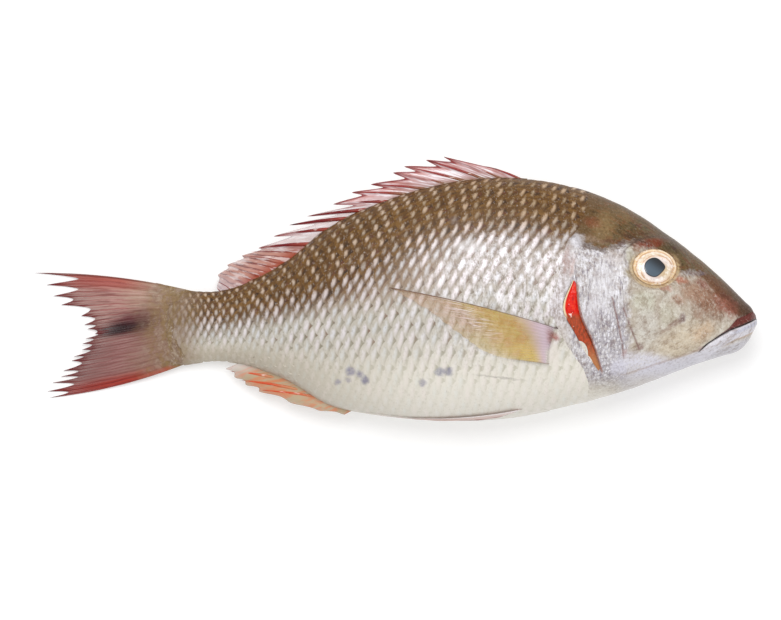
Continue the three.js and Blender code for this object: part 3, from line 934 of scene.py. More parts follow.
facePatches = [                          # centre, size, turn, colour, strength
    ((37, -8.5), (14, 7), -0.42, (206, 190, 164), 0.7),
    ((27, -4), (6, 3.4), -0.7, (196, 160, 124), 0.55),
    ((56, 10), (6, 5), 0.2, (190, 192, 168), 0.5),
    ((55, 0), (6, 9), 0, (206, 203, 196), 0.6),
    ((45, 4), (4, 5), 0, (192, 190, 172), 0.5),
    ((25, 12), (12, 7.5), 0.72, (132, 88, 62), 0.9),
    ((15.5, 8.5), (7, 3.4), 0.75, (146, 88, 72), 0.8),
    ((33, 15.5), (7, 4), 0.3, (170, 134, 110), 0.6),
    ((20, 18), (9, 2.2), 0.78, (104, 62, 38), 0.8),
    ((27.5, 19.5), (3.0, 1.6), 0.5, (130, 66, 50), 0.6),
    ((12, 10.5), (4, 1.2), 0.78, (104, 58, 40), 0.8),
    ((16.5, 13.5), (2.4, 1.2), 0.78, (90, 46, 30), 0.7),
    ((30, 4.2), (2.6, 2.0), 0.4, (146, 108, 86), 0.6),
    ((39.6, 11.6), (3.4, 1.9), 0.5, (156, 110, 82), 0.7),
    ((37.6, 2.2), (1.6, 2.4), 0.4, (112, 84, 86), 0.75),
    ((40.8, 0.2), (3.6, 1.2), -0.6, (136, 108, 96), 0.7),
    ((45.6, -3.2), (3.4, 1.3), -0.5, (150, 126, 112), 0.6),
    ((50, 8), (1.2, 5), 0.1, (170, 150, 138), 0.4),
    ((32.3, 24.9), (5.4, 1.4), 0, (168, 160, 160), 0.7),
    ((27.6, 24.5), (1.1, 0.9), 0, (104, 86, 94), 0.7),
    ((38.4, 21.6), (3.6, 1.7), 0.35, (172, 96, 64), 0.8),
    ((45.8, 17.4), (3.2, 1.2), 0.3, (166, 98, 74), 0.65),
    ((65.6, -15.4), (1.4, 2.0), 0, (170, 112, 88), 0.6),
    ((58.2, -11.6), (1.6, 1.6), 0.3, (120, 84, 80), 0.6),
    ((55, -19.8), (14, 5.0), 0.12, (212, 210, 220), 1.0),
    ((68.7, -22), (4.6, 3.4), 0, (214, 212, 226), 0.7),
    ((76, 20), (6, 10), 0.1, (222, 220, 224), 0.5),
    ((70, 33), (5, 4), 0.2, (176, 160, 148), 0.45),
    ((82, 6), (3.4, 8), 0.1, (212, 208, 214), 0.5),
    ((80, 41), (7, 1.4), 0.25, (158, 134, 112), 0.5),
    ((89.4, 41), (3.2, 3.0), 0.3, (208, 206, 212), 0.7),
    ((94.6, 31), (1.6, 6.5), 0.1, (140, 96, 80), 0.65),
    ((91.6, 28), (1.3, 5), 0.1, (192, 156, 146), 0.5),
    ((58.4, 47.8), (1.5, 0.9), 0.6, (98, 50, 34), 0.7),
    ((76, 48), (5, 7), 0.3, (146, 120, 80), 0.6),
    ((82, 50), (4, 2.4), 0.2, (126, 66, 38), 0.6),
    ((66, 53), (5, 2.2), 0.6, (132, 104, 66), 0.5),
    ((58, 43.6), (9, 2.0), 0.1, (84, 58, 34), 0.5),
    ((70, 40.2), (9, 1.3), 0.05, (92, 58, 38), 0.7),
    ((44, 41), (9, 2.4), 0.8, (74, 56, 32), 0.6),
    ((53, 39.4), (8.0, 2.3), -0.12, (120, 54, 30), 1.0),
    ((60.6, 41.6), (7, 0.9), 0.3, (70, 42, 28), 0.8),
    ((60.2, 36.6), (2.6, 1.5), 0.7, (132, 84, 54), 0.7),
    ((43.0, 37.6), (4.6, 2.8), 0.65, (84, 72, 48), 0.8),
    ((41.0, 37.4), (0.9, 1.0), 0, (84, 54, 52), 0.7),
    ((63.2, 32.5), (2.0, 6.0), -0.15, (190, 186, 168), 0.7),
    ((64.4, 24.8), (1.8, 2.0), 0, (150, 134, 96), 0.6),
]


def coverTone(paint, mottle):            # the gill cover: silver, streaked and stained
    streak = paint.noise(paint.stretched(1.0, 0.2), 5.0, 0.7)
    cover = paint.mix(tint["cover"], tint["coverGlint"], paint.rise(streak, 0.52, 0.66))
    cover = paint.mix(cover, tint["coverShade"], paint.rise(0.5 - streak, 0.02, 0.1) * 0.95)
    cover = paint.mix(cover, tint["coverStain"], paint.rise(mottle, 0.5, 0.62) * 0.65)
    return paint.mix(cover, tint["coverPale"], paint.rise(0.5 - mottle, 0.02, 0.12) * 0.5)


def flankSkinTone(paint, belly, silver):             # the skin under the scales
    base = paint.mix(tint["flank"], tint["silverPearl"], silver * 0.75)
    base = paint.mix(base, tint["belly"], belly)
    fine = paint.noise(paint.stretched(0.55, 0.28), 5.0, 0.75)
    base = paint.mix(base, tint["flankSkinDark"], paint.rise(fine, 0.47, 0.57) * (1 - belly) * 0.65)
    return paint.mix(base, tint["flankSkinPale"], paint.rise(0.5 - fine, 0.06, 0.14) * (1 - belly) * 0.6)


def crownTone(paint, behind, high, soft, mottle):    # the brown of the head and nape
    crown = paint.mix(tint["crown"], tint["crownGreen"], paint.rise(soft, 0.45, 0.6))
    crown = paint.mix(crown, tint["rust"], paint.rise(mottle, 0.5, 0.6) * 0.6)
    crown = paint.mix(crown, tint["crownDark"], paint.rise(0.5 - mottle, 0.01, 0.1) * 0.7)
    crown = paint.mix(crown, tint["nape"], paint.rise(behind, 64, 90) * 0.8)
    crown = paint.mix(crown, tint["snoutTop"], (1 - paint.rise(behind + high * 0.2, 4, 30)) * 0.9)
    return paint.mix(crown, tint["back"], paint.rise(behind, 90, 105))


def eyeRims(paint, base, high, mottle):  # the rings of skin round the eye
    reach = paint.attribute("eyeReach")
    upper = paint.rise(high, head["eye"][1] + 2, head["eye"][1] + 9)
    ringed = reach + (mottle - 0.5) * 0.12
    base = paint.mix(base, tint["eyeRim"], paint.between(ringed, 1.0, 1.15, 0.07) * (1 - upper) * 0.8)
    base = paint.mix(base, tint["eyeRimEdge"], paint.between(ringed, 1.16, 1.22, 0.05) * (1 - upper) * 0.35)
    base = paint.mix(base, tint["browLine"], paint.between(ringed, 1.6, 1.67, 0.06) * upper * 0.7)
    # a dark line in the sunken seam round the eye, stronger above: painted shade
    return paint.mix(base, tint["eyeSeamShade"], paint.between(reach, 0.92, 1.0, 0.04) * (0.3 + upper * 0.4))


def mouthTones(paint, base, behind, grain):          # lips, the fold under them and the gape
    gape, lip = paint.attribute("gape"), paint.attribute("lipTop")
    wedge = (1 - paint.rise(lip, -0.25, 0.3)) * paint.rise(gape, 0.0, 0.4)
    wedge = wedge * (1 - paint.rise(behind, 25, 31))
    lipTone = paint.mix(tint["upperLip"], tint["upperLipRear"], paint.rise(behind, 12, 22))
    lipTone = paint.mix(lipTone, tint["upperLipDark"], paint.rise(grain, 0.5, 0.68) * 0.6)
    base = paint.mix(base, lipTone, wedge)
    under = paint.between(gape, -5.2, -0.2, 0.4) * (1 - paint.rise(behind, 25, 34))
    base = paint.mix(base, tint["lowerLip"], under * 0.95)
    shadow = paint.between(gape, -2.6, -1.0, 0.5) * under * (1 - paint.rise(behind, 9, 15))
    base = paint.mix(base, tint["lipShadow"], shadow * 0.7)
    fold = paint.between(gape, -5.8, -5.2, 0.35) * (1 - paint.rise(behind, 3, 20))
    base = paint.mix(base, tint["lipFold"], fold * 0.45)
    # the dark line where the lips meet: painted shade in the closed mouth's crease
    parted = 1 - paint.rise(paint.maths("ABSOLUTE", gape), 0.12, 0.55)
    return paint.mix(base, tint["gape"], parted * (1 - paint.rise(behind, 27, 31)))


def skinMaterial():
    paint = Paint("skin", {"Coat Roughness": 0.14, "IOR": 1.33})
    behind, high = paint.where()
    back, belly, silver = zones(paint, behind)
    soft = paint.noise(paint.stretched(0.16, 0.16), 5.0, 0.65)
    grain = paint.noise(paint.stretched(0.8, 0.75), 4.0, 0.75)
    mottle = paint.noise(paint.stretched(0.2, 0.18), 6.0, 0.75)
    line = paint.attribute("topLine") + (mottle - 0.5) * 7
    top = paint.rise(line, -1.6, 1.6)
    headward = 1 - paint.rise(behind, 90, 97)

    face = paint.mix(tint["cheek"], tint["cheekPale"], paint.rise(soft, 0.42, 0.62))
    onChin = paint.rise(0 - high - behind * 0.36, 3.5, 7) * (1 - paint.rise(behind, 34, 60))
    face = paint.mix(face, tint["jaw"], onChin)
    cells = paint.node("TexVoronoi", {"feature": "DISTANCE_TO_EDGE"},
                       {"Vector": paint.stretched(0.62, 0.34), "Scale": 1.0, "Randomness": 0.8})
    scaled = paint.between(behind, 63, 84, 4) * paint.between(high, -32, 8, 6)
    seams = (1 - paint.rise(cells, 0.02, 0.2)) * scaled
    cover = paint.mix(coverTone(paint, mottle), tint["coverShade"], seams * 0.55)
    onCover = paint.rise(behind + (soft - 0.5) * 12, 60, 67) * paint.rise(high, -36, -24)
    face = paint.mix(face, cover, onCover)
    breast = paint.rise(behind, 60, 78) * (1 - paint.rise(high, -38, -28))
    face = paint.mix(face, tint["belly"], breast)

    base = paint.mix(flankSkinTone(paint, belly, silver), face, headward)
    crown = crownTone(paint, behind, high, soft, mottle)
    base = paint.mix(base, crown, top * headward + back * (1 - headward))
    rim = paint.between(line, -2.2, 0.4, 0.9) * paint.rise(behind, 50, 62) * headward
    base = paint.mix(base, tint["crownRim"], rim * paint.rise(soft, 0.4, 0.52) * 0.75)
    base = paint.mix(base, rootTone(paint), paint.rise(behind, 272, 286))
    base = patches(paint, base, behind, high, facePatches, 2.8, 0.4)
    crescent = 0 - high - behind * 0.33 + (mottle - 0.5) * 1.6
    onJaw = paint.rise(behind, 18, 30) * (1 - paint.rise(behind, 60, 72))
    beneath = 1 - paint.rise(paint.attribute("depthShare"), 0.9, 1.0) * 0.6
    base = paint.mix(base, tint["crescent"], paint.rise(crescent, 3.4, 5.0) * onJaw * beneath * 0.9)
    base = paint.mix(base, tint["crescentEdge"], paint.between(crescent, 3.2, 3.9, 0.5) * onJaw * 0.5)

    base = eyeRims(paint, base, high, mottle)
    # darker along the cheek's grooves: painted shade in the creases
    groove = 1 - paint.rise(paint.attribute("groove") + (grain - 0.5) * 1.8, 0.1, 0.75)
    base = paint.mix(base, tint["groove"], groove * paint.rise(soft, 0.36, 0.5) * 0.75)
    base = mouthTones(paint, base, behind, grain)
    cut = paint.attribute("gillEdge")
    onRim = paint.between(cut, -0.2, 0.9, 0.25) * paint.between(high, -24, 20, 2)
    base = paint.mix(base, tint["gillRim"], onRim * 0.8)
    bare = (1 - onCover) * paint.rise(high, -20, -12)
    whole = paint.mix(base, tint["faceMottle"], paint.rise(mottle, 0.5, 0.6) * bare * 0.5, "MULTIPLY")
    dark = paint.rise(grain, 0.48, 0.7) * (0.45 + top * 0.2)
    whole = paint.mix(whole, tint["faceGrain"], dark, "MULTIPLY")
    # pale flecks where the grain is low: painted glints on the wet skin
    faceGlints = paint.rise(0.5 - grain, 0.04, 0.2) * (0.3 - top * 0.2)
    whole = paint.mix(whole, tint["faceGlintFlecks"], faceGlints)
    relief = grain + cells * scaled * 0.8 + mottle * top
    return paint.finish(base=whole, rough=0.42 - paint.rise(soft, 0.5, 0.7) * 0.08, coat=0.3 - top * 0.2,
                        normal=paint.bump(relief, 0.00022, 0.6))


skinPiece = makeSkin(skinMaterial())
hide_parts("fish")
print("skin made")

scaleLook = scaleMaterial()
for side, hand in ((1, "Right"), (-1, "Left")):
    piece = scaleLattice("scales" + hand, side, scaleLook)
    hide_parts("fish")
print("scales made")


# The eyes: domes turned to the skin's slope, with their own coordinates for the iris
eye = {
    "at": head["eye"],
    "long": 23,
    "high": 19,
    "deep": 9.6,
    "sunk": 1.6,
    "pupil": (5.3, 4.8),
    "inner": (8.1, 7.1),
    "innerAt": (-0.9, -0.9),
    "irisShare": 0.4715,     # the iris's half size, as a share of the eye's whole size
    "flatten": 0.07,         # how much flatter the middle is, and over how many millimetres
    "flatOver": 6.5,
    "lowest": 0.4,
    "cells": (72, 44),
    "pupilFlats": (4.5, 4.3),            # how far its two flattened corners are from its middle
    "outerRings": [          # places from the middle to the iris's edge, and their colours
        (0.0, (205, 190, 180)), (0.5, (216, 198, 186)), (0.72, (226, 202, 170)), (0.8, (242, 230, 214)),
        (0.87, (204, 152, 100)), (0.91, (240, 212, 168)), (0.96, (238, 204, 158)), (1.0, (204, 162, 116)),
        (1.06, (180, 142, 104))],
    "innerRings": [
        (0.55, (206, 184, 176)), (0.68, (228, 214, 208)), (0.8, (240, 228, 222)), (0.9, (232, 206, 184)),
        (0.97, (190, 140, 104)), (1.0, (226, 194, 156))],
}


def skinFacing(side, behind, high):      # the skin's outward direction on one side
    out = halfThickness(behind, high)
    ahead = (halfThickness(behind - 1, high) - halfThickness(behind + 1, high)) / 2
    above = (halfThickness(behind, high + 1) - halfThickness(behind, high - 1)) / 2
    return out, Vector((-ahead, -above, side)).normalized()


eyeTint = tints({
    "gold": (206, 178, 118),
    "pupilReflection": (74, 90, 104),
    "pupilHigh": (22, 26, 32),
    "pupilRim": (18, 20, 24),
    "paleStreak": (255, 250, 244),
    "darkStreak": (178, 150, 128),
})


def eyeMaterial():
    paint = Paint("eye", {"Coat Weight": 1.0, "Coat Roughness": 0.03, "Roughness": 0.25, "IOR": 1.4})
    along, up = paint.attribute("eyeAlong"), paint.attribute("eyeUp")
    wander = (paint.noise(paint.stretched(0.35, 0.35), 2.0) - 0.5) * 0.12

    def ring(half, centre):
        first = (along - centre[0]) * (1 / half[0])
        second = (up - centre[1]) * (1 / half[1])
        return (first * first + second * second) ** 0.5

    outer = ring((eye["long"] * eye["irisShare"], eye["high"] * eye["irisShare"]), (0, 0)) + wander * 0.5
    inner = ring(eye["inner"], eye["innerAt"]) + wander * 0.7
    pupil = ring(eye["pupil"], (0, 0))
    slant = math.sqrt(0.5)
    flatTop = paint.maths("MAXIMUM", (up - along) * (slant / eye["pupilFlats"][0]), 0.0)
    flatLow = paint.maths("MAXIMUM", (0 - up - along) * (slant / eye["pupilFlats"][1]), 0.0)
    pupil = (pupil ** 10.0 + flatTop ** 10.0 + flatLow ** 10.0) ** 0.1
    iris = paint.ramp(outer, eye["outerRings"])
    within = paint.ramp(inner, eye["innerRings"])
    whole = paint.mix(iris, within, 1 - paint.rise(inner, 0.97, 1.03))
    gold = paint.blotch(along, up, (-4.8, -2.2), (3.6, 3.4), 0.5, 0.6)
    whole = paint.mix(whole, eyeTint["gold"], gold * 0.6)
    # the pupil is near black; its lighter blue-grey lower part is a painted reflection
    dark = paint.mix(eyeTint["pupilReflection"], eyeTint["pupilHigh"], paint.rise(up - along * 0.7, -3.0, 4.5))
    dark = paint.mix(dark, eyeTint["pupilRim"], paint.rise(pupil, 0.86, 0.98))
    whole = paint.mix(whole, dark, 1 - paint.rise(pupil, 0.97, 1.05))
    streaks = paint.noise(paint.stretched(0.5, 0.5), 4.0, 0.7)
    clear = paint.rise(pupil, 1.1, 1.3)
    # the pale streaks on the iris are painted glints
    whole = paint.mix(whole, eyeTint["paleStreak"], paint.rise(streaks, 0.52, 0.62) * clear * 0.6)
    whole = paint.mix(whole, eyeTint["darkStreak"], paint.rise(0.5 - streaks, 0.04, 0.14) * clear * 0.5)
    return paint.finish(base=whole)


def makeEye(name, side, material):
    bm = bmesh.new()
    bmesh.ops.create_uvsphere(bm, u_segments=eye["cells"][0], v_segments=eye["cells"][1], radius=1)
    layers = {word: bm.verts.layers.float.new(word) for word in ("eyeAlong", "eyeUp")}
    behind, high = eye["at"]
    out, facing = skinFacing(side, behind, high)
    turn = Vector((0, 0, side)).rotation_difference(facing)
    halves = Vector((eye["long"] / 2, eye["high"] / 2, eye["deep"] / 2))
    for vert in bm.verts:
        local = vert.co * halves
        flat = eye["flatten"] * math.exp(-((math.hypot(local.x, local.y) / eye["flatOver"]) ** 4))
        spot = turn @ Vector((local.x, local.y, side * local.z * (1 - flat)))
        vert[layers["eyeAlong"]] = -spot.x
        vert[layers["eyeUp"]] = spot.y
        sunk = out - eye["sunk"]
        vert.co = place(behind - spot.x, high + spot.y, side * sunk + spot.z, eye["lowest"])
    bmesh.ops.recalc_face_normals(bm, faces=bm.faces)
    return newPiece(name, bm, material)


eyeLook = eyeMaterial()
for side, hand in ((1, "right"), (-1, "left")):
    piece = makeEye("eye" + hand.title(), side, eyeLook)
    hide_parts("eye_" + hand)
print("eyes made")


# The gills: a wet blade that shows through the slot behind each gill cover
gill = {
    "top": 21.6,
    "bottom": -23.8,
    "under": 0.9,            # how far the blade lies below the skin
    "thick": 0.9,
    "cells": (22, 120),
    "redFrom": 4.5,
    "underCover": 1.6,       # how far it reaches under the cover, and how far down it bends there
    "sinks": 1.6,
    "pastShoulder": 0.5,
    "curlsUp": 0.6,          # towards its rear edge
    "bulge": 0.175,
    "waves": 0.0875,
    "lowest": 0.3,
}


gillTint = tints({
    "rust": (184, 74, 40),
    "brown": (134, 62, 36),
    "tan": (190, 130, 84),
    "red": (222, 20, 6),
    "orange": (228, 62, 22),
    "darkRed": (150, 12, 8),
    "cream": (224, 214, 176),
    "glint": (255, 236, 230),
})


def gillMaterial():
    paint = Paint("gill", {"Coat Weight": 0.25, "Coat Roughness": 0.08, "Roughness": 0.4, "IOR": 1.25})
    across = paint.attribute("across")
    high = paint.where()[1]
    grain = paint.noise(paint.stretched(0.9, 0.35), 4.0, 0.65)
    lower = paint.mix(gillTint["rust"], gillTint["brown"], paint.rise(grain, 0.35, 0.65))
    lower = paint.mix(lower, gillTint["tan"], 1 - paint.rise(high, -22, -8))
    upper = paint.mix(gillTint["red"], gillTint["orange"], paint.rise(grain, 0.45, 0.7))
    upper = paint.mix(upper, gillTint["darkRed"], paint.rise(0.5 - grain, 0.04, 0.16) * 0.7)
    whole = paint.mix(lower, upper, paint.rise(high, gill["redFrom"] - 2, gill["redFrom"] + 2))
    cream = paint.rise(across, 0.86, 0.93) * paint.rise(high, 2, 5)
    whole = paint.mix(whole, gillTint["cream"], cream * 0.9)
    glints = paint.noise(paint.stretched(0.8, 0.5), 3.0)
    glint = paint.rise(glints, 0.65, 0.7) * paint.rise(high, -6, 2)
    whole = paint.mix(whole, gillTint["glint"], glint * 0.8)
    ridges = paint.noise(paint.stretched(0.3, 1.8), 2.0)
    return paint.finish(base=whole, normal=paint.bump(ridges, 0.0003, 0.7))


def makeGill(name, side, material):
    bm = boxSheet(*gill["cells"])
    layer = bm.verts.layers.float.new("across")
    for vert in bm.verts:
        share, rise, top = vert.co.x + 0.5, vert.co.y + 0.5, vert.co.z > 0
        high = gill["bottom"] + rise * (gill["top"] - gill["bottom"])
        front = curveThrough(head["coverEdge"], high) - gill["underCover"]
        rear = curveThrough(head["shoulderEdge"], high) + gill["pastShoulder"]
        behind = front + share * (rear - front)
        out = skinOut(side, behind, high) - gill["under"]
        out += gill["curlsUp"] * smooth((share - 0.75) / 0.2) - gill["sinks"] * (1 - smooth(share * 3))
        out += gill["bulge"] * math.sin(share * math.pi)
        out += gill["waves"] * noise.noise(Vector((behind * 0.5, high * 0.9, side)))
        vert.co = place(behind, high, side * (out - (0 if top else gill["thick"])), gill["lowest"])
        vert[layer] = share
    bmesh.ops.recalc_face_normals(bm, faces=bm.faces)
    return newPiece(name, bm, material)


gillLook = gillMaterial()
for side, hand in ((1, "right"), (-1, "left")):
    piece = makeGill("gill" + hand.title(), side, gillLook)
    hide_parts("gill_" + hand)
print("gills made")


# The fins: sheets with ridged rays, mapped from shares across and along to places on the fish


def between(row, share):                 # a point part way along a row of points
    at = min(len(row) - 1.0001, max(0.0, share * (len(row) - 1)))
    i = int(at)
    t = at - i
    return tuple(a + t * (b - a) for a, b in zip(row[i], row[i + 1]))


def makeFin(name, cells, spot, thickness, material, lowest=tableGap):
    bm = boxSheet(*cells)
    layers = {word: bm.verts.layers.float.new(word) for word in ("across", "along")}
    for vert in bm.verts:
        across, along, top = vert.co.x + 0.5, vert.co.y + 0.5, vert.co.z > 0
        behind, high, out, reach = spot(across, along)
        half = thickness(across, along)
        vert.co = place(behind, high, out + (half if top else -half), lowest)
        vert[layers["across"]] = across
        vert[layers["along"]] = reach
    bmesh.ops.recalc_face_normals(bm, faces=bm.faces)
    return newPiece(name, bm, material)


def rayRidge(position, sharp=0.22):      # 1 on a ray, 0 half way to the next
    off = abs(position - round(position))
    return math.exp(-((off / sharp) ** 2))


# The tail fin, from the tip of its upper lobe to the tip of its lower one
tail = {
    "rays": 17,              # gaps between the rays that end in points
    "cells": (204, 72),
    "roots": [(277, 15.4), (280, 9.5), (282, 3), (282, -4), (280, -11), (277, -17.8)],
    "tips": [(358.5, 25), (352.1, 19), (348.6, 13.5), (344.7, 9.1), (334.8, 3.6), (333.3, -0.8),
             (331.8, -2.9), (327.9, -5.3), (332.8, -7.6), (334.4, -10.2), (334.5, -13.2), (338.7, -16.6),
             (339.7, -18.6), (343.7, -23.6), (344.9, -26.5), (349.1, -29.5), (351.6, -33.8), (350.9, -37)],
    "notches": [0.25, 0.2, 0.12, 0.16, 0.12, 0.1, 0.06, 0.08, 0.1, 0.1, 0.12, 0.1, 0.12, 0.13, 0.16, 0.17,
                0.14],       # how deep the web is cut between two rays, as shares of their length
    "forks": 0.025,          # the same for the finer cuts at the rays' own forks
    "bowUp": 2.7,
    "bowDown": 2.9,
    "rootHalf": 2.6,
    "tipHalf": 0.28,
    "ridge": 0.3,
}


def tailSpot(across, along):
    t = tail
    root = between(t["roots"], across)
    tip = between(t["tips"], across)
    position = across * t["rays"]
    gap = min(t["rays"] - 1, int(position))
    off = position - gap
    notch = t["notches"][gap] * (1 - abs(2 * off - 1) ** 1.4)
    uneven = 0.4 + 0.6 * noise.noise(Vector((gap * 3.1, 0, 5))) ** 2
    notch += t["forks"] * (1 - abs(2 * ((2 * position) % 1) - 1)) * uneven
    reach = along * (1 - notch)
    bow = t["bowUp"] * (1 - smooth(across * 3)) - t["bowDown"] * smooth((across - 0.6) / 0.4)
    behind = root[0] + reach * (tip[0] - root[0])
    high = root[1] + reach * (tip[1] - root[1]) + bow * 4 * reach * (1 - reach)
    wave = 0.5 * math.sin(across * 9 + reach * 3) * smooth(reach * 2 - 0.5)
    return behind, high, max(0.0, 0.3 + wave), reach


def tailThickness(across, along):
    base = tail["tipHalf"] + (tail["rootHalf"] - tail["tipHalf"]) * (1 - smooth(along * 1.6)) ** 1.5
    edge = smooth(min(across, 1 - across) * 6)
    raised = tail["ridge"] * rayRidge(across * tail["rays"]) * (1 - 0.6 * along) * smooth(along * 3 - 0.5)
    return base * (0.15 + 0.85 * edge) + raised


tailTint = tints({
    "tissue": (180, 148, 138),
    "nearTissue": (174, 150, 132),
    "ray": (148, 84, 80),
    "nearRay": (158, 114, 100),
    "paleStreak": (196, 160, 152),
    "darkStreak": (112, 58, 56),
    "lowerLobe": (116, 70, 70),
    "band": (172, 72, 58),
    "bandRay": (136, 48, 42),
    "upperEdge": (112, 58, 50),
    "lowerBand": (164, 46, 30),
    "lowerBandRay": (120, 34, 28),
    "maroon": (76, 18, 28),
    "black": (36, 5, 12),
    "seam": (164, 62, 46),
    "points": (96, 14, 20),
})


def tailBlotch(paint, whole, streak):    # the dark blotch in the fork, drawn out along the rays
    behind, high = paint.where()
    ragged = behind + (streak - 0.5) * 18
    maroon = paint.blotch(ragged, high, (307, 0.2), (15, 6.2), -0.18, 0.6)
    whole = paint.mix(whole, tailTint["maroon"], maroon * 0.85)
    black = paint.blotch(ragged, high, (316, -3.0), (13, 2.7), -0.2, 0.7)
    return paint.mix(whole, tailTint["black"], black * 0.95)


def tailMaterial():
    paint = Paint("tail", {"Coat Weight": 0.1, "Coat Roughness": 0.15, "IOR": 1.25})
    across, along = paint.attribute("across"), paint.attribute("along")
    behind = paint.where()[0]
    sway = (paint.noise(paint.stretched(0.06, 0.12), 3.0) - 0.5) * 0.03
    rays = paint.wave((across + sway) * tail["rays"])
    branches = paint.wave((across + sway) * (tail["rays"] * 2) + 0.5)
    fine = paint.wave((across + sway) * (tail["rays"] * 4))
    lines = paint.mixed(rays, branches, 0.3 + paint.rise(along, 0.3, 0.55) * 0.4)
    lines = paint.mixed(lines, fine, 0.2 + paint.rise(along, 0.5, 0.8) * 0.3)
    streak = paint.noise(paint.join(across * 90, along * 4), 4.0)
    near = 1 - paint.rise(along, 0.35, 0.62)
    tissue = paint.mix(tailTint["tissue"], tailTint["nearTissue"], near)
    bone = paint.mix(tailTint["ray"], tailTint["nearRay"], near)
    whole = paint.mix(tissue, bone, lines)
    whole = paint.mix(whole, tailTint["paleStreak"], paint.rise(streak, 0.52, 0.7) * 0.55)
    whole = paint.mix(whole, tailTint["darkStreak"], paint.rise(0.5 - streak, 0.02, 0.16) * 0.55)
    low = paint.mix(whole, tailTint["lowerLobe"], paint.rise(across, 0.46, 0.6) * 0.6)
    red = (1 - paint.rise(across, 0.045, 0.12)) * paint.rise(along, 0.2, 0.5)
    band = paint.mix(tailTint["band"], tailTint["bandRay"], lines)
    whole = paint.mix(low, band, red * 0.8)
    edge = (1 - paint.rise(across, 0.006, 0.02)) * paint.rise(along, 0.1, 0.3)
    whole = paint.mix(whole, tailTint["upperEdge"], edge * 0.7)
    under = paint.rise(across, 0.87, 0.955) * paint.rise(along, 0.12, 0.4)
    lowerBand = paint.mix(tailTint["lowerBand"], tailTint["lowerBandRay"], lines)
    whole = paint.mix(whole, lowerBand, under * 0.92)
    whole = tailBlotch(paint, whole, streak)
    stray = (paint.noise(paint.stretched(0.1, 0.16), 5.0, 0.7) - 0.5) * 26
    root = 1 - paint.rise(behind + stray, 286, 314)
    whole = paint.mix(whole, rootTone(paint), root)
    seam = paint.rise(across, 0.93, 0.975) * paint.rise(along, 0.1, 0.24)
    whole = paint.mix(whole, tailTint["seam"], seam * root * 0.8)
    points = paint.rise(along + lines * 0.14, 0.86, 1.04)
    whole = paint.mix(whole, tailTint["points"], points * 0.95)
    alpha = 1 - (1 - lines) * paint.rise(along, 0.55, 0.92) * (1 - points) * 0.7
    ribs = (lines + streak * 0.5) * (1 - root)
    return paint.finish(base=whole, rough=0.42, alpha=alpha, normal=paint.bump(ribs, 0.0003, 0.7))


# The dorsal fin, from the head to the tail
dorsal = {
    "gaps": 15,
    "spines": 11,            # gaps with spines, the rest have soft rays
    "cells": (240, 26),
    "from": 111.6,
    "to": 264.6,
    "crowd": 0.15,           # how much closer the spines stand towards the tail
    "tips": [(131, 77), (155, 82.4), (163.7, 80.8), (174.6, 77.6), (180, 74.5), (191.1, 68.7),
             (200.5, 64.8), (209.7, 58.9), (222.7, 52.9), (231.7, 48.6), (239.3, 43), (246.6, 37.3),
             (254.7, 33.6), (262, 29), (266.8, 24), (267.4, 17.5)],
    "scoops": [0.04, 0.16, 0.22, 0.2, 0.26, 0.25, 0.22, 0.4, 0.5, 0.45, 0.35, 0.12, 0.1, 0.08, 0.08],
    "webHalf": 0.3,
    "ridge": 0.12,
    "rooted": 3,             # how far the roots are below the back's edge
    "darkFrom": 7,           # the first spine that stands free of the web
    "rodWide": 0.8,
    "darkWide": 1.05,
    "rayWide": 0.336,
}


def dorsalRoot(across):
    share = across - dorsal["crowd"] * across * (1 - across)
    behind = dorsal["from"] + share * (dorsal["to"] - dorsal["from"])
    return behind, sectionAt(behind)[0] - dorsal["rooted"]


def dorsalSpot(across, along):
    d = dorsal
    root = dorsalRoot(across)
    tip = between(d["tips"], across)
    position = across * d["gaps"]
    gap = min(d["gaps"] - 1, int(position))
    off = position - gap
    scoop = d["scoops"][gap] * smooth(off / 0.22) * (1 - smooth((off - 0.2) / 0.85))
    reach = along * (1 - scoop)
    behind = root[0] + reach * (tip[0] - root[0])
    high = root[1] + reach * (tip[1] - root[1])
    return behind, high, 0.5 * math.sin(position * 2) * along, along


def dorsalThickness(across, along):
    return dorsal["webHalf"] + dorsal["ridge"] * rayRidge(across * dorsal["gaps"])


dorsalTint = tints({
    "web": (188, 144, 140),
    "webPale": (226, 204, 208),
    "webRoot": (138, 104, 74),
    "webTop": (202, 108, 98),
    "webGlint": (250, 246, 250),
    "webDark": (150, 70, 62),
    "soft": (190, 138, 124),
    "softRay": (100, 20, 20),
    "softRoot": (162, 60, 26),
    "softRear": (214, 204, 210),
    "softWhite": (238, 224, 222),
    "margin": (128, 10, 14),
    "spine": (112, 24, 24),
})


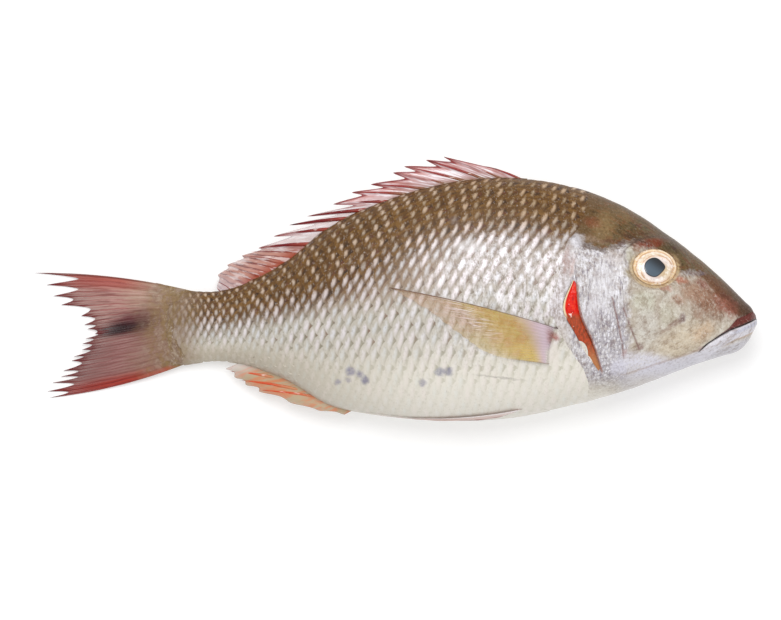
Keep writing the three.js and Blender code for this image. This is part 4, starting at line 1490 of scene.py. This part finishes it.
def dorsalMaterial():
    paint = Paint("dorsal", {"Coat Weight": 0.2, "Coat Roughness": 0.12, "IOR": 1.25})
    across, along = paint.attribute("across"), paint.attribute("along")
    position = across * dorsal["gaps"]
    spine = paint.wave(position) ** 6.0
    soft = paint.rise(across, 0.71, 0.77)
    rear = paint.rise(across, 0.44, 0.54)
    streak = paint.noise(paint.join(across * 60, along * 2.4), 4.0)
    web = paint.mix(dorsalTint["web"], dorsalTint["webPale"], paint.rise(streak, 0.4, 0.6))
    web = paint.mix(web, dorsalTint["webRoot"], (1 - paint.rise(along, 0.15, 0.5)) * (1 - rear) * 0.7)
    web = paint.mix(web, dorsalTint["webTop"], paint.rise(along, 0.5, 0.95) * 0.35)
    # white streaks on the spiny web: painted glints
    web = paint.mix(web, dorsalTint["webGlint"], paint.rise(streak, 0.53, 0.63) * 0.9)
    web = paint.mix(web, dorsalTint["webDark"], paint.rise(0.5 - streak, 0.08, 0.2) * 0.7)
    lines = paint.wave(position * 3 + streak * 1.5) ** 3.0
    softWeb = paint.mix(dorsalTint["soft"], dorsalTint["softRay"], lines * 0.9)
    softWeb = paint.mix(softWeb, dorsalTint["softRoot"], (1 - paint.rise(along, 0.1, 0.55)) * 0.85)
    softWeb = paint.mix(softWeb, dorsalTint["softRear"], paint.rise(across, 0.88, 1.0) * 0.7)
    softWeb = paint.mix(softWeb, dorsalTint["softWhite"], paint.rise(streak, 0.5, 0.6) * 0.55)
    whole = paint.mix(web, softWeb, soft)
    whole = paint.mix(whole, dorsalTint["margin"], paint.rise(along, 0.86, 0.94) * (1 - soft) * 0.85)
    whole = paint.mix(whole, dorsalTint["spine"], spine * paint.rise(along, 0.3, 0.7) * (1 - soft) * 0.6)
    clear = rear * (1 - soft) * (1 - spine) * 0.7 + soft * paint.rise(along, 0.5, 1.0) * 0.35
    return paint.finish(base=whole, rough=0.38, alpha=0.94 - clear)


# The spines and soft rays, as tapered rods
rods = {
    "tipShare": 0.14,        # how wide the tip is, as a share of the root
    "bow": 0.5,
    "cells": (10, 22),
    "tones": {               # colours at the root, along the middle and at the tip
        "spine": ((126, 96, 64), (146, 50, 46), (40, 8, 10)),
        "darkSpine": ((150, 60, 46), (110, 12, 18), (28, 5, 8)),
        "ray": ((150, 62, 34), (132, 50, 44), (170, 110, 104)),
        "analSpine": ((196, 130, 90), (204, 78, 40), (150, 44, 26)),
    },
    "glint": (236, 220, 210),
}


def makeRods(name, roots, tips, wide, material):
    around, along = rods["cells"]
    bm = bmesh.new()
    layer = bm.verts.layers.float.new("along")
    for root, tip in zip(roots, tips):
        made = bmesh.ops.create_uvsphere(bm, u_segments=around, v_segments=along, radius=1)
        run = Vector((tip[0] - root[0], tip[1] - root[1], 0))
        aside = Vector((-run.y, run.x, 0)).normalized()
        for vert in made["verts"]:
            share = 1 - math.acos(min(1.0, max(-1.0, vert.co.z))) / math.pi
            taper = 1 - (1 - rods["tipShare"]) * share ** 2
            radius = wide * taper * min(1.0, 4 * math.sin(share * math.pi))
            turn = math.atan2(vert.co.y, vert.co.x)
            spot = Vector((root[0], root[1], 0)) + run * share
            spot += aside * (rods["bow"] * math.sin(share * math.pi))
            spot += aside * (math.cos(turn) * radius) + Vector((0, 0, math.sin(turn) * radius))
            vert.co = place(spot.x, spot.y, spot.z, tableGap)
            vert[layer] = share
    bmesh.ops.remove_doubles(bm, verts=bm.verts, dist=1e-7)
    bmesh.ops.recalc_face_normals(bm, faces=bm.faces)
    return newPiece(name, bm, material)


def rodMaterial(name):
    low, mid, tip = rods["tones"][name]
    paint = Paint(name, {"Coat Weight": 0.3, "Coat Roughness": 0.12, "Roughness": 0.4, "IOR": 1.25})
    along = paint.attribute("along")
    streak = paint.noise(paint.stretched(0.15, 0.9), 3.0)
    whole = paint.ramp(along, [(0.15, low), (0.5, mid), (0.82, mid), (0.96, tip)])
    glint = paint.rise(streak, 0.58, 0.72) * (1 - paint.rise(along, 0.6, 0.85))
    whole = paint.mix(whole, colour(*rods["glint"]), glint * 0.7)
    return paint.finish(base=whole)


# The anal fin and its spines, each from its root to its tip
anal = {
    "gaps": 6,
    "cells": (96, 24),
    "roots": [(196, -41), (208, -37), (222, -30), (236, -22), (250, -17)],
    "tips": [(204, -45.2), (222, -42.4), (246, -34), (256, -29), (263, -22.5)],
    "rods": [((192, -42.5), (222, -41)), ((213, -37.2), (246.4, -33)), ((226, -33), (255.4, -28.2)),
             ((238, -27), (261, -23.8))],
    "webHalf": 0.45,
    "rodWide": 0.85,
    "notch": 0.12,
}


def analSpot(across, along):
    root = between(anal["roots"], across)
    tip = between(anal["tips"], across)
    off = across * anal["gaps"]
    reach = along * (1 - anal["notch"] * (1 - rayRidge(off, 0.3)))
    return (root[0] + reach * (tip[0] - root[0]), root[1] + reach * (tip[1] - root[1]),
            0.4 * math.sin(across * 8) * along, reach)


analTint = tints({
    "web": (182, 160, 128),
    "orange": (206, 120, 74),
    "rear": (214, 208, 206),
})


def analMaterial():
    paint = Paint("anal", {"Coat Weight": 0.5, "Coat Roughness": 0.12, "IOR": 1.4})
    across, along = paint.attribute("across"), paint.attribute("along")
    streak = paint.noise(paint.join(across * 20, along * 2), 3.0)
    whole = paint.mix(analTint["web"], analTint["orange"], paint.rise(streak, 0.42, 0.62) * 0.8)
    whole = paint.mix(whole, analTint["rear"], paint.rise(across, 0.75, 1.0) * 0.7)
    return paint.finish(base=whole, rough=0.38, alpha=0.95 - paint.rise(along, 0.6, 1.0) * 0.35)


# The paired fins, which lie on the skin
paired = {"rooted": 0.7, "wave": 0.3, "half": 0.2, "rootHalf": 0.45, "lowest": 0.4}


def pairedSpot(side, fin):
    def spot(across, along):
        root = between(fin["roots"], across)
        tip = between(fin["tips"], across)
        reach = along * (1 - fin["notch"] * (1 - rayRidge(across * fin["rays"], 0.3)))
        behind = root[0] + reach * (tip[0] - root[0])
        high = root[1] + reach * (tip[1] - root[1]) + fin["sweep"] * 4 * reach * (1 - reach) * (1 - across)
        top, low = sectionAt(behind)[:2]
        out = skinOut(side, behind, min(top - 0.5, max(low + 0.5, high))) - paired["rooted"]
        out += (paired["rooted"] + fin["standsOut"]) * smooth(reach * 16)
        out += paired["wave"] * math.sin(across * 7 + reach * 5)
        return behind, high, side * out, reach
    return spot


def pairedThickness(across, along):
    return paired["half"] + (paired["rootHalf"] - paired["half"]) * (1 - along)


pectoral = {
    "roots": [(98.6, -2.6), (100.4, -8.5), (102.2, -14), (103, -20)],
    "tips": [(182, 17.8), (162, 5.8), (147, -5.6), (137, -13), (130, -15.8), (124.6, -17.2)],
    "standsOut": 1.3,
    "rays": 14,
    "cells": (112, 60),
    "sweep": 1.6,
    "notch": 0.02,
}


pectoralTint = tints({
    "web": (220, 190, 98),
    "ray": (184, 146, 80),
    "lowerWeb": (236, 208, 112),
    "orange": (208, 142, 84),
    "farWeb": (202, 160, 138),
    "root": (212, 192, 208),
    "rootRed": (150, 66, 50),
    "fleshy": (222, 214, 206),
    "white": (240, 232, 240),
    "upperEdge": (84, 58, 50),
    "lowerEdge": (138, 100, 78),
})


def pectoralMaterial():
    paint = Paint("pectoral", {"Coat Weight": 0.25, "Coat Roughness": 0.15, "IOR": 1.3})
    across, along = paint.attribute("across"), paint.attribute("along")
    rays = paint.wave(across * pectoral["rays"]) ** 2.0
    streak = paint.noise(paint.join(across * 70, along * 5), 4.0)
    whole = paint.mix(pectoralTint["web"], pectoralTint["ray"], rays * 0.5)
    whole = paint.mix(whole, pectoralTint["lowerWeb"], paint.rise(across, 0.4, 0.8) * 0.7)
    orange = paint.noise(paint.stretched(0.12, 0.09), 4.0, 0.6)
    whole = paint.mix(whole, pectoralTint["orange"], paint.rise(orange, 0.48, 0.6) * 0.45)
    far = paint.rise(along, 0.5, 0.75) * (1 - paint.rise(across, 0.2, 0.5))
    whole = paint.mix(whole, pectoralTint["farWeb"], far * 0.7)
    root = 1 - paint.rise(along + (streak - 0.5) * 0.12, 0.1, 0.34)
    whole = paint.mix(whole, pectoralTint["root"], root * 0.9)
    red = 1 - paint.rise(along + (streak - 0.5) * 0.06, 0.015, 0.1)
    red = red * paint.between(across, 0.1, 0.42, 0.1)
    whole = paint.mix(whole, pectoralTint["rootRed"], red * 0.9)
    fleshy = (1 - paint.rise(along, 0.03, 0.12)) * paint.rise(across, 0.5, 0.7)
    whole = paint.mix(whole, pectoralTint["fleshy"], fleshy)
    # the white streaks over the middle of the fin are painted glare
    white = paint.rise(streak, 0.5, 0.62) * paint.between(along, 0.52, 0.8, 0.08)
    white = white * (1 - paint.rise(across, 0.25, 0.6))
    whole = paint.mix(whole, pectoralTint["white"], white * 0.7)
    upper = 1 - paint.rise(across, 0.008, 0.022)
    whole = paint.mix(whole, pectoralTint["upperEdge"], upper * 0.85)
    lower = paint.rise(across, 0.982, 0.994) * (1 - paint.rise(along, 0.8, 1.0))
    whole = paint.mix(whole, pectoralTint["lowerEdge"], lower * 0.8)
    alpha = 0.36 + rays * 0.12 + root * 0.3
    alpha = alpha * (1 - paint.rise(along, 0.4, 0.95) * 0.6) * paint.rise(along + streak * 0.1, 0.04, 0.14)
    edges = paint.maths("MAXIMUM", upper, lower)
    alpha = paint.mixed(alpha, 0.9, paint.maths("MAXIMUM", edges, white * 0.5))
    return paint.finish(base=whole, rough=0.36, alpha=alpha, normal=paint.bump(rays, 0.00015, 0.5))


pelvic = {
    "roots": [(116, -42.2), (121, -44.4), (127, -46.4)],
    "tips": [(194, -44.4), (187, -45.6), (178, -46.6), (160, -48.2), (138, -48)],
    "standsOut": 0.8,
    "rays": 5,
    "cells": (60, 48),
    "sweep": -3.6,
    "notch": 0.05,
}


pelvicTint = tints({
    "web": (226, 206, 198),
    "ray": (180, 120, 104),
    "white": (246, 242, 242),
    "leading": (140, 84, 74),
    "inner": (146, 64, 56),
})


def pelvicMaterial():
    paint = Paint("pelvic", {"Coat Weight": 0.6, "Coat Roughness": 0.12, "IOR": 1.4})
    across, along = paint.attribute("across"), paint.attribute("along")
    rays = paint.wave(across * (pelvic["rays"] * 2)) ** 2.0
    whole = paint.mix(pelvicTint["web"], pelvicTint["ray"], rays * 0.6)
    whole = paint.mix(whole, pelvicTint["white"], paint.between(across, 0.06, 0.3, 0.08) * 0.8)
    leading = 1 - paint.rise(across, 0.03, 0.08)
    whole = paint.mix(whole, pelvicTint["leading"], leading * 0.7)
    whole = paint.mix(whole, pelvicTint["inner"], paint.rise(across, 0.7, 0.9) * 0.7)
    return paint.finish(base=whole, rough=0.35, alpha=0.9 - paint.rise(along, 0.5, 1.0) * 0.4)


fins = [makeFin("tail", tail["cells"], tailSpot, tailThickness, tailMaterial()),
        makeFin("dorsal", dorsal["cells"], dorsalSpot, dorsalThickness, dorsalMaterial())]
for name, first, last, wide, look in (
        ("dorsalSpines", 0, dorsal["darkFrom"], dorsal["rodWide"], rodMaterial("spine")),
        ("dorsalDarkSpines", dorsal["darkFrom"], dorsal["spines"] + 1, dorsal["darkWide"],
         rodMaterial("darkSpine"))):
    roots = [dorsalRoot(i / dorsal["gaps"]) for i in range(first, last)]
    fins.append(makeRods(name, roots, dorsal["tips"][first:last], wide, look))
softShares = [i / (2 * dorsal["gaps"]) for i in range(2 * dorsal["spines"] + 1, 2 * dorsal["gaps"] + 1)]
softRoots = [dorsalRoot(share) for share in softShares]
softTips = [between(dorsal["tips"], share) for share in softShares]
fins.append(makeRods("dorsalRays", softRoots, softTips, dorsal["rayWide"], rodMaterial("ray")))
fins.append(makeFin("anal", anal["cells"], analSpot, lambda across, along: anal["webHalf"], analMaterial()))
analRoots, analTips = zip(*anal["rods"])
fins.append(makeRods("analSpines", analRoots, analTips, anal["rodWide"], rodMaterial("analSpine")))
pairedFins = (("pectoral", pectoral, pectoralMaterial()), ("pelvic", pelvic, pelvicMaterial()))
for side, hand in ((1, "Right"), (-1, "Left")):
    for name, fin, look in pairedFins:
        fins.append(makeFin(name + hand, fin["cells"], pairedSpot(side, fin), pairedThickness, look,
                            paired["lowest"]))
for fin in fins:
    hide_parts("fish")
print("fins made")

# The camera looks straight down, as the photograph does on the fish's side
camera = {
    "frameWide": 386.2,
    "centre": (-1.98, -10.35),
    "distance": 6000,
    "plane": 22,             # the height at which the frame is that wide
    "sensor": 36,
    "seesTo": 20,            # metres
}
lens = bpy.data.cameras.new("camera")
lens.sensor_width = camera["sensor"]
lens.lens = camera["sensor"] * camera["distance"] / camera["frameWide"]
lens.clip_end = camera["seesTo"]
eyePoint = bpy.data.objects.new("camera", lens)
eyePoint.location = (camera["centre"][0] * mm, camera["centre"][1] * mm,
                     (camera["distance"] + camera["plane"]) * mm)
bpy.context.scene.collection.objects.link(eyePoint)
bpy.context.scene.camera = eyePoint

# Light and floor
studio = {
    "sky": 0.58,
    "key": 13,
    "keyAt": (-0.1, 0.55, 1.3),
    "fill": 3,
    "fillAt": (0.9, -0.8, 0.9),
    "lampSize": 0.9,
    "floorHalf": 3,
    "floorGrey": 0.66,
    "floorGlow": 0.4,
}


def addLamp(name, power, size, at):
    lamp = bpy.data.lights.new(name, "AREA")
    lamp.energy = power
    lamp.size = size
    holder = bpy.data.objects.new(name, lamp)
    holder.location = at
    holder.rotation_euler = (-Vector(at)).to_track_quat("-Z", "Y").to_euler()
    bpy.context.scene.collection.objects.link(holder)


addLamp("keyLight", studio["key"], studio["lampSize"], studio["keyAt"])
addLamp("fillLight", studio["fill"], studio["lampSize"], studio["fillAt"])
world = bpy.data.worlds.new("sky")
world.use_nodes = True
world.node_tree.nodes["Background"].inputs["Color"].default_value = (1, 1, 1, 1)
world.node_tree.nodes["Background"].inputs["Strength"].default_value = studio["sky"]
bpy.context.scene.world = world
bpy.context.scene.view_settings.view_transform = "Standard"

floorPaint = Paint("floor", {"Roughness": 0.8, "Emission Color": (1, 1, 1, 1),
                             "Emission Strength": studio["floorGlow"]})
floorPaint.finish(base=(*[studio["floorGrey"]] * 3, 1.0))
bm = bmesh.new()
bmesh.ops.create_grid(bm, x_segments=1, y_segments=1, size=studio["floorHalf"])
floorMesh = bpy.data.meshes.new("floor")
bm.to_mesh(floorMesh)
bm.free()
floorMesh.materials.append(floorPaint.material)
floor = bpy.data.objects.new("floor", floorMesh)
bpy.context.scene.collection.objects.link(floor)
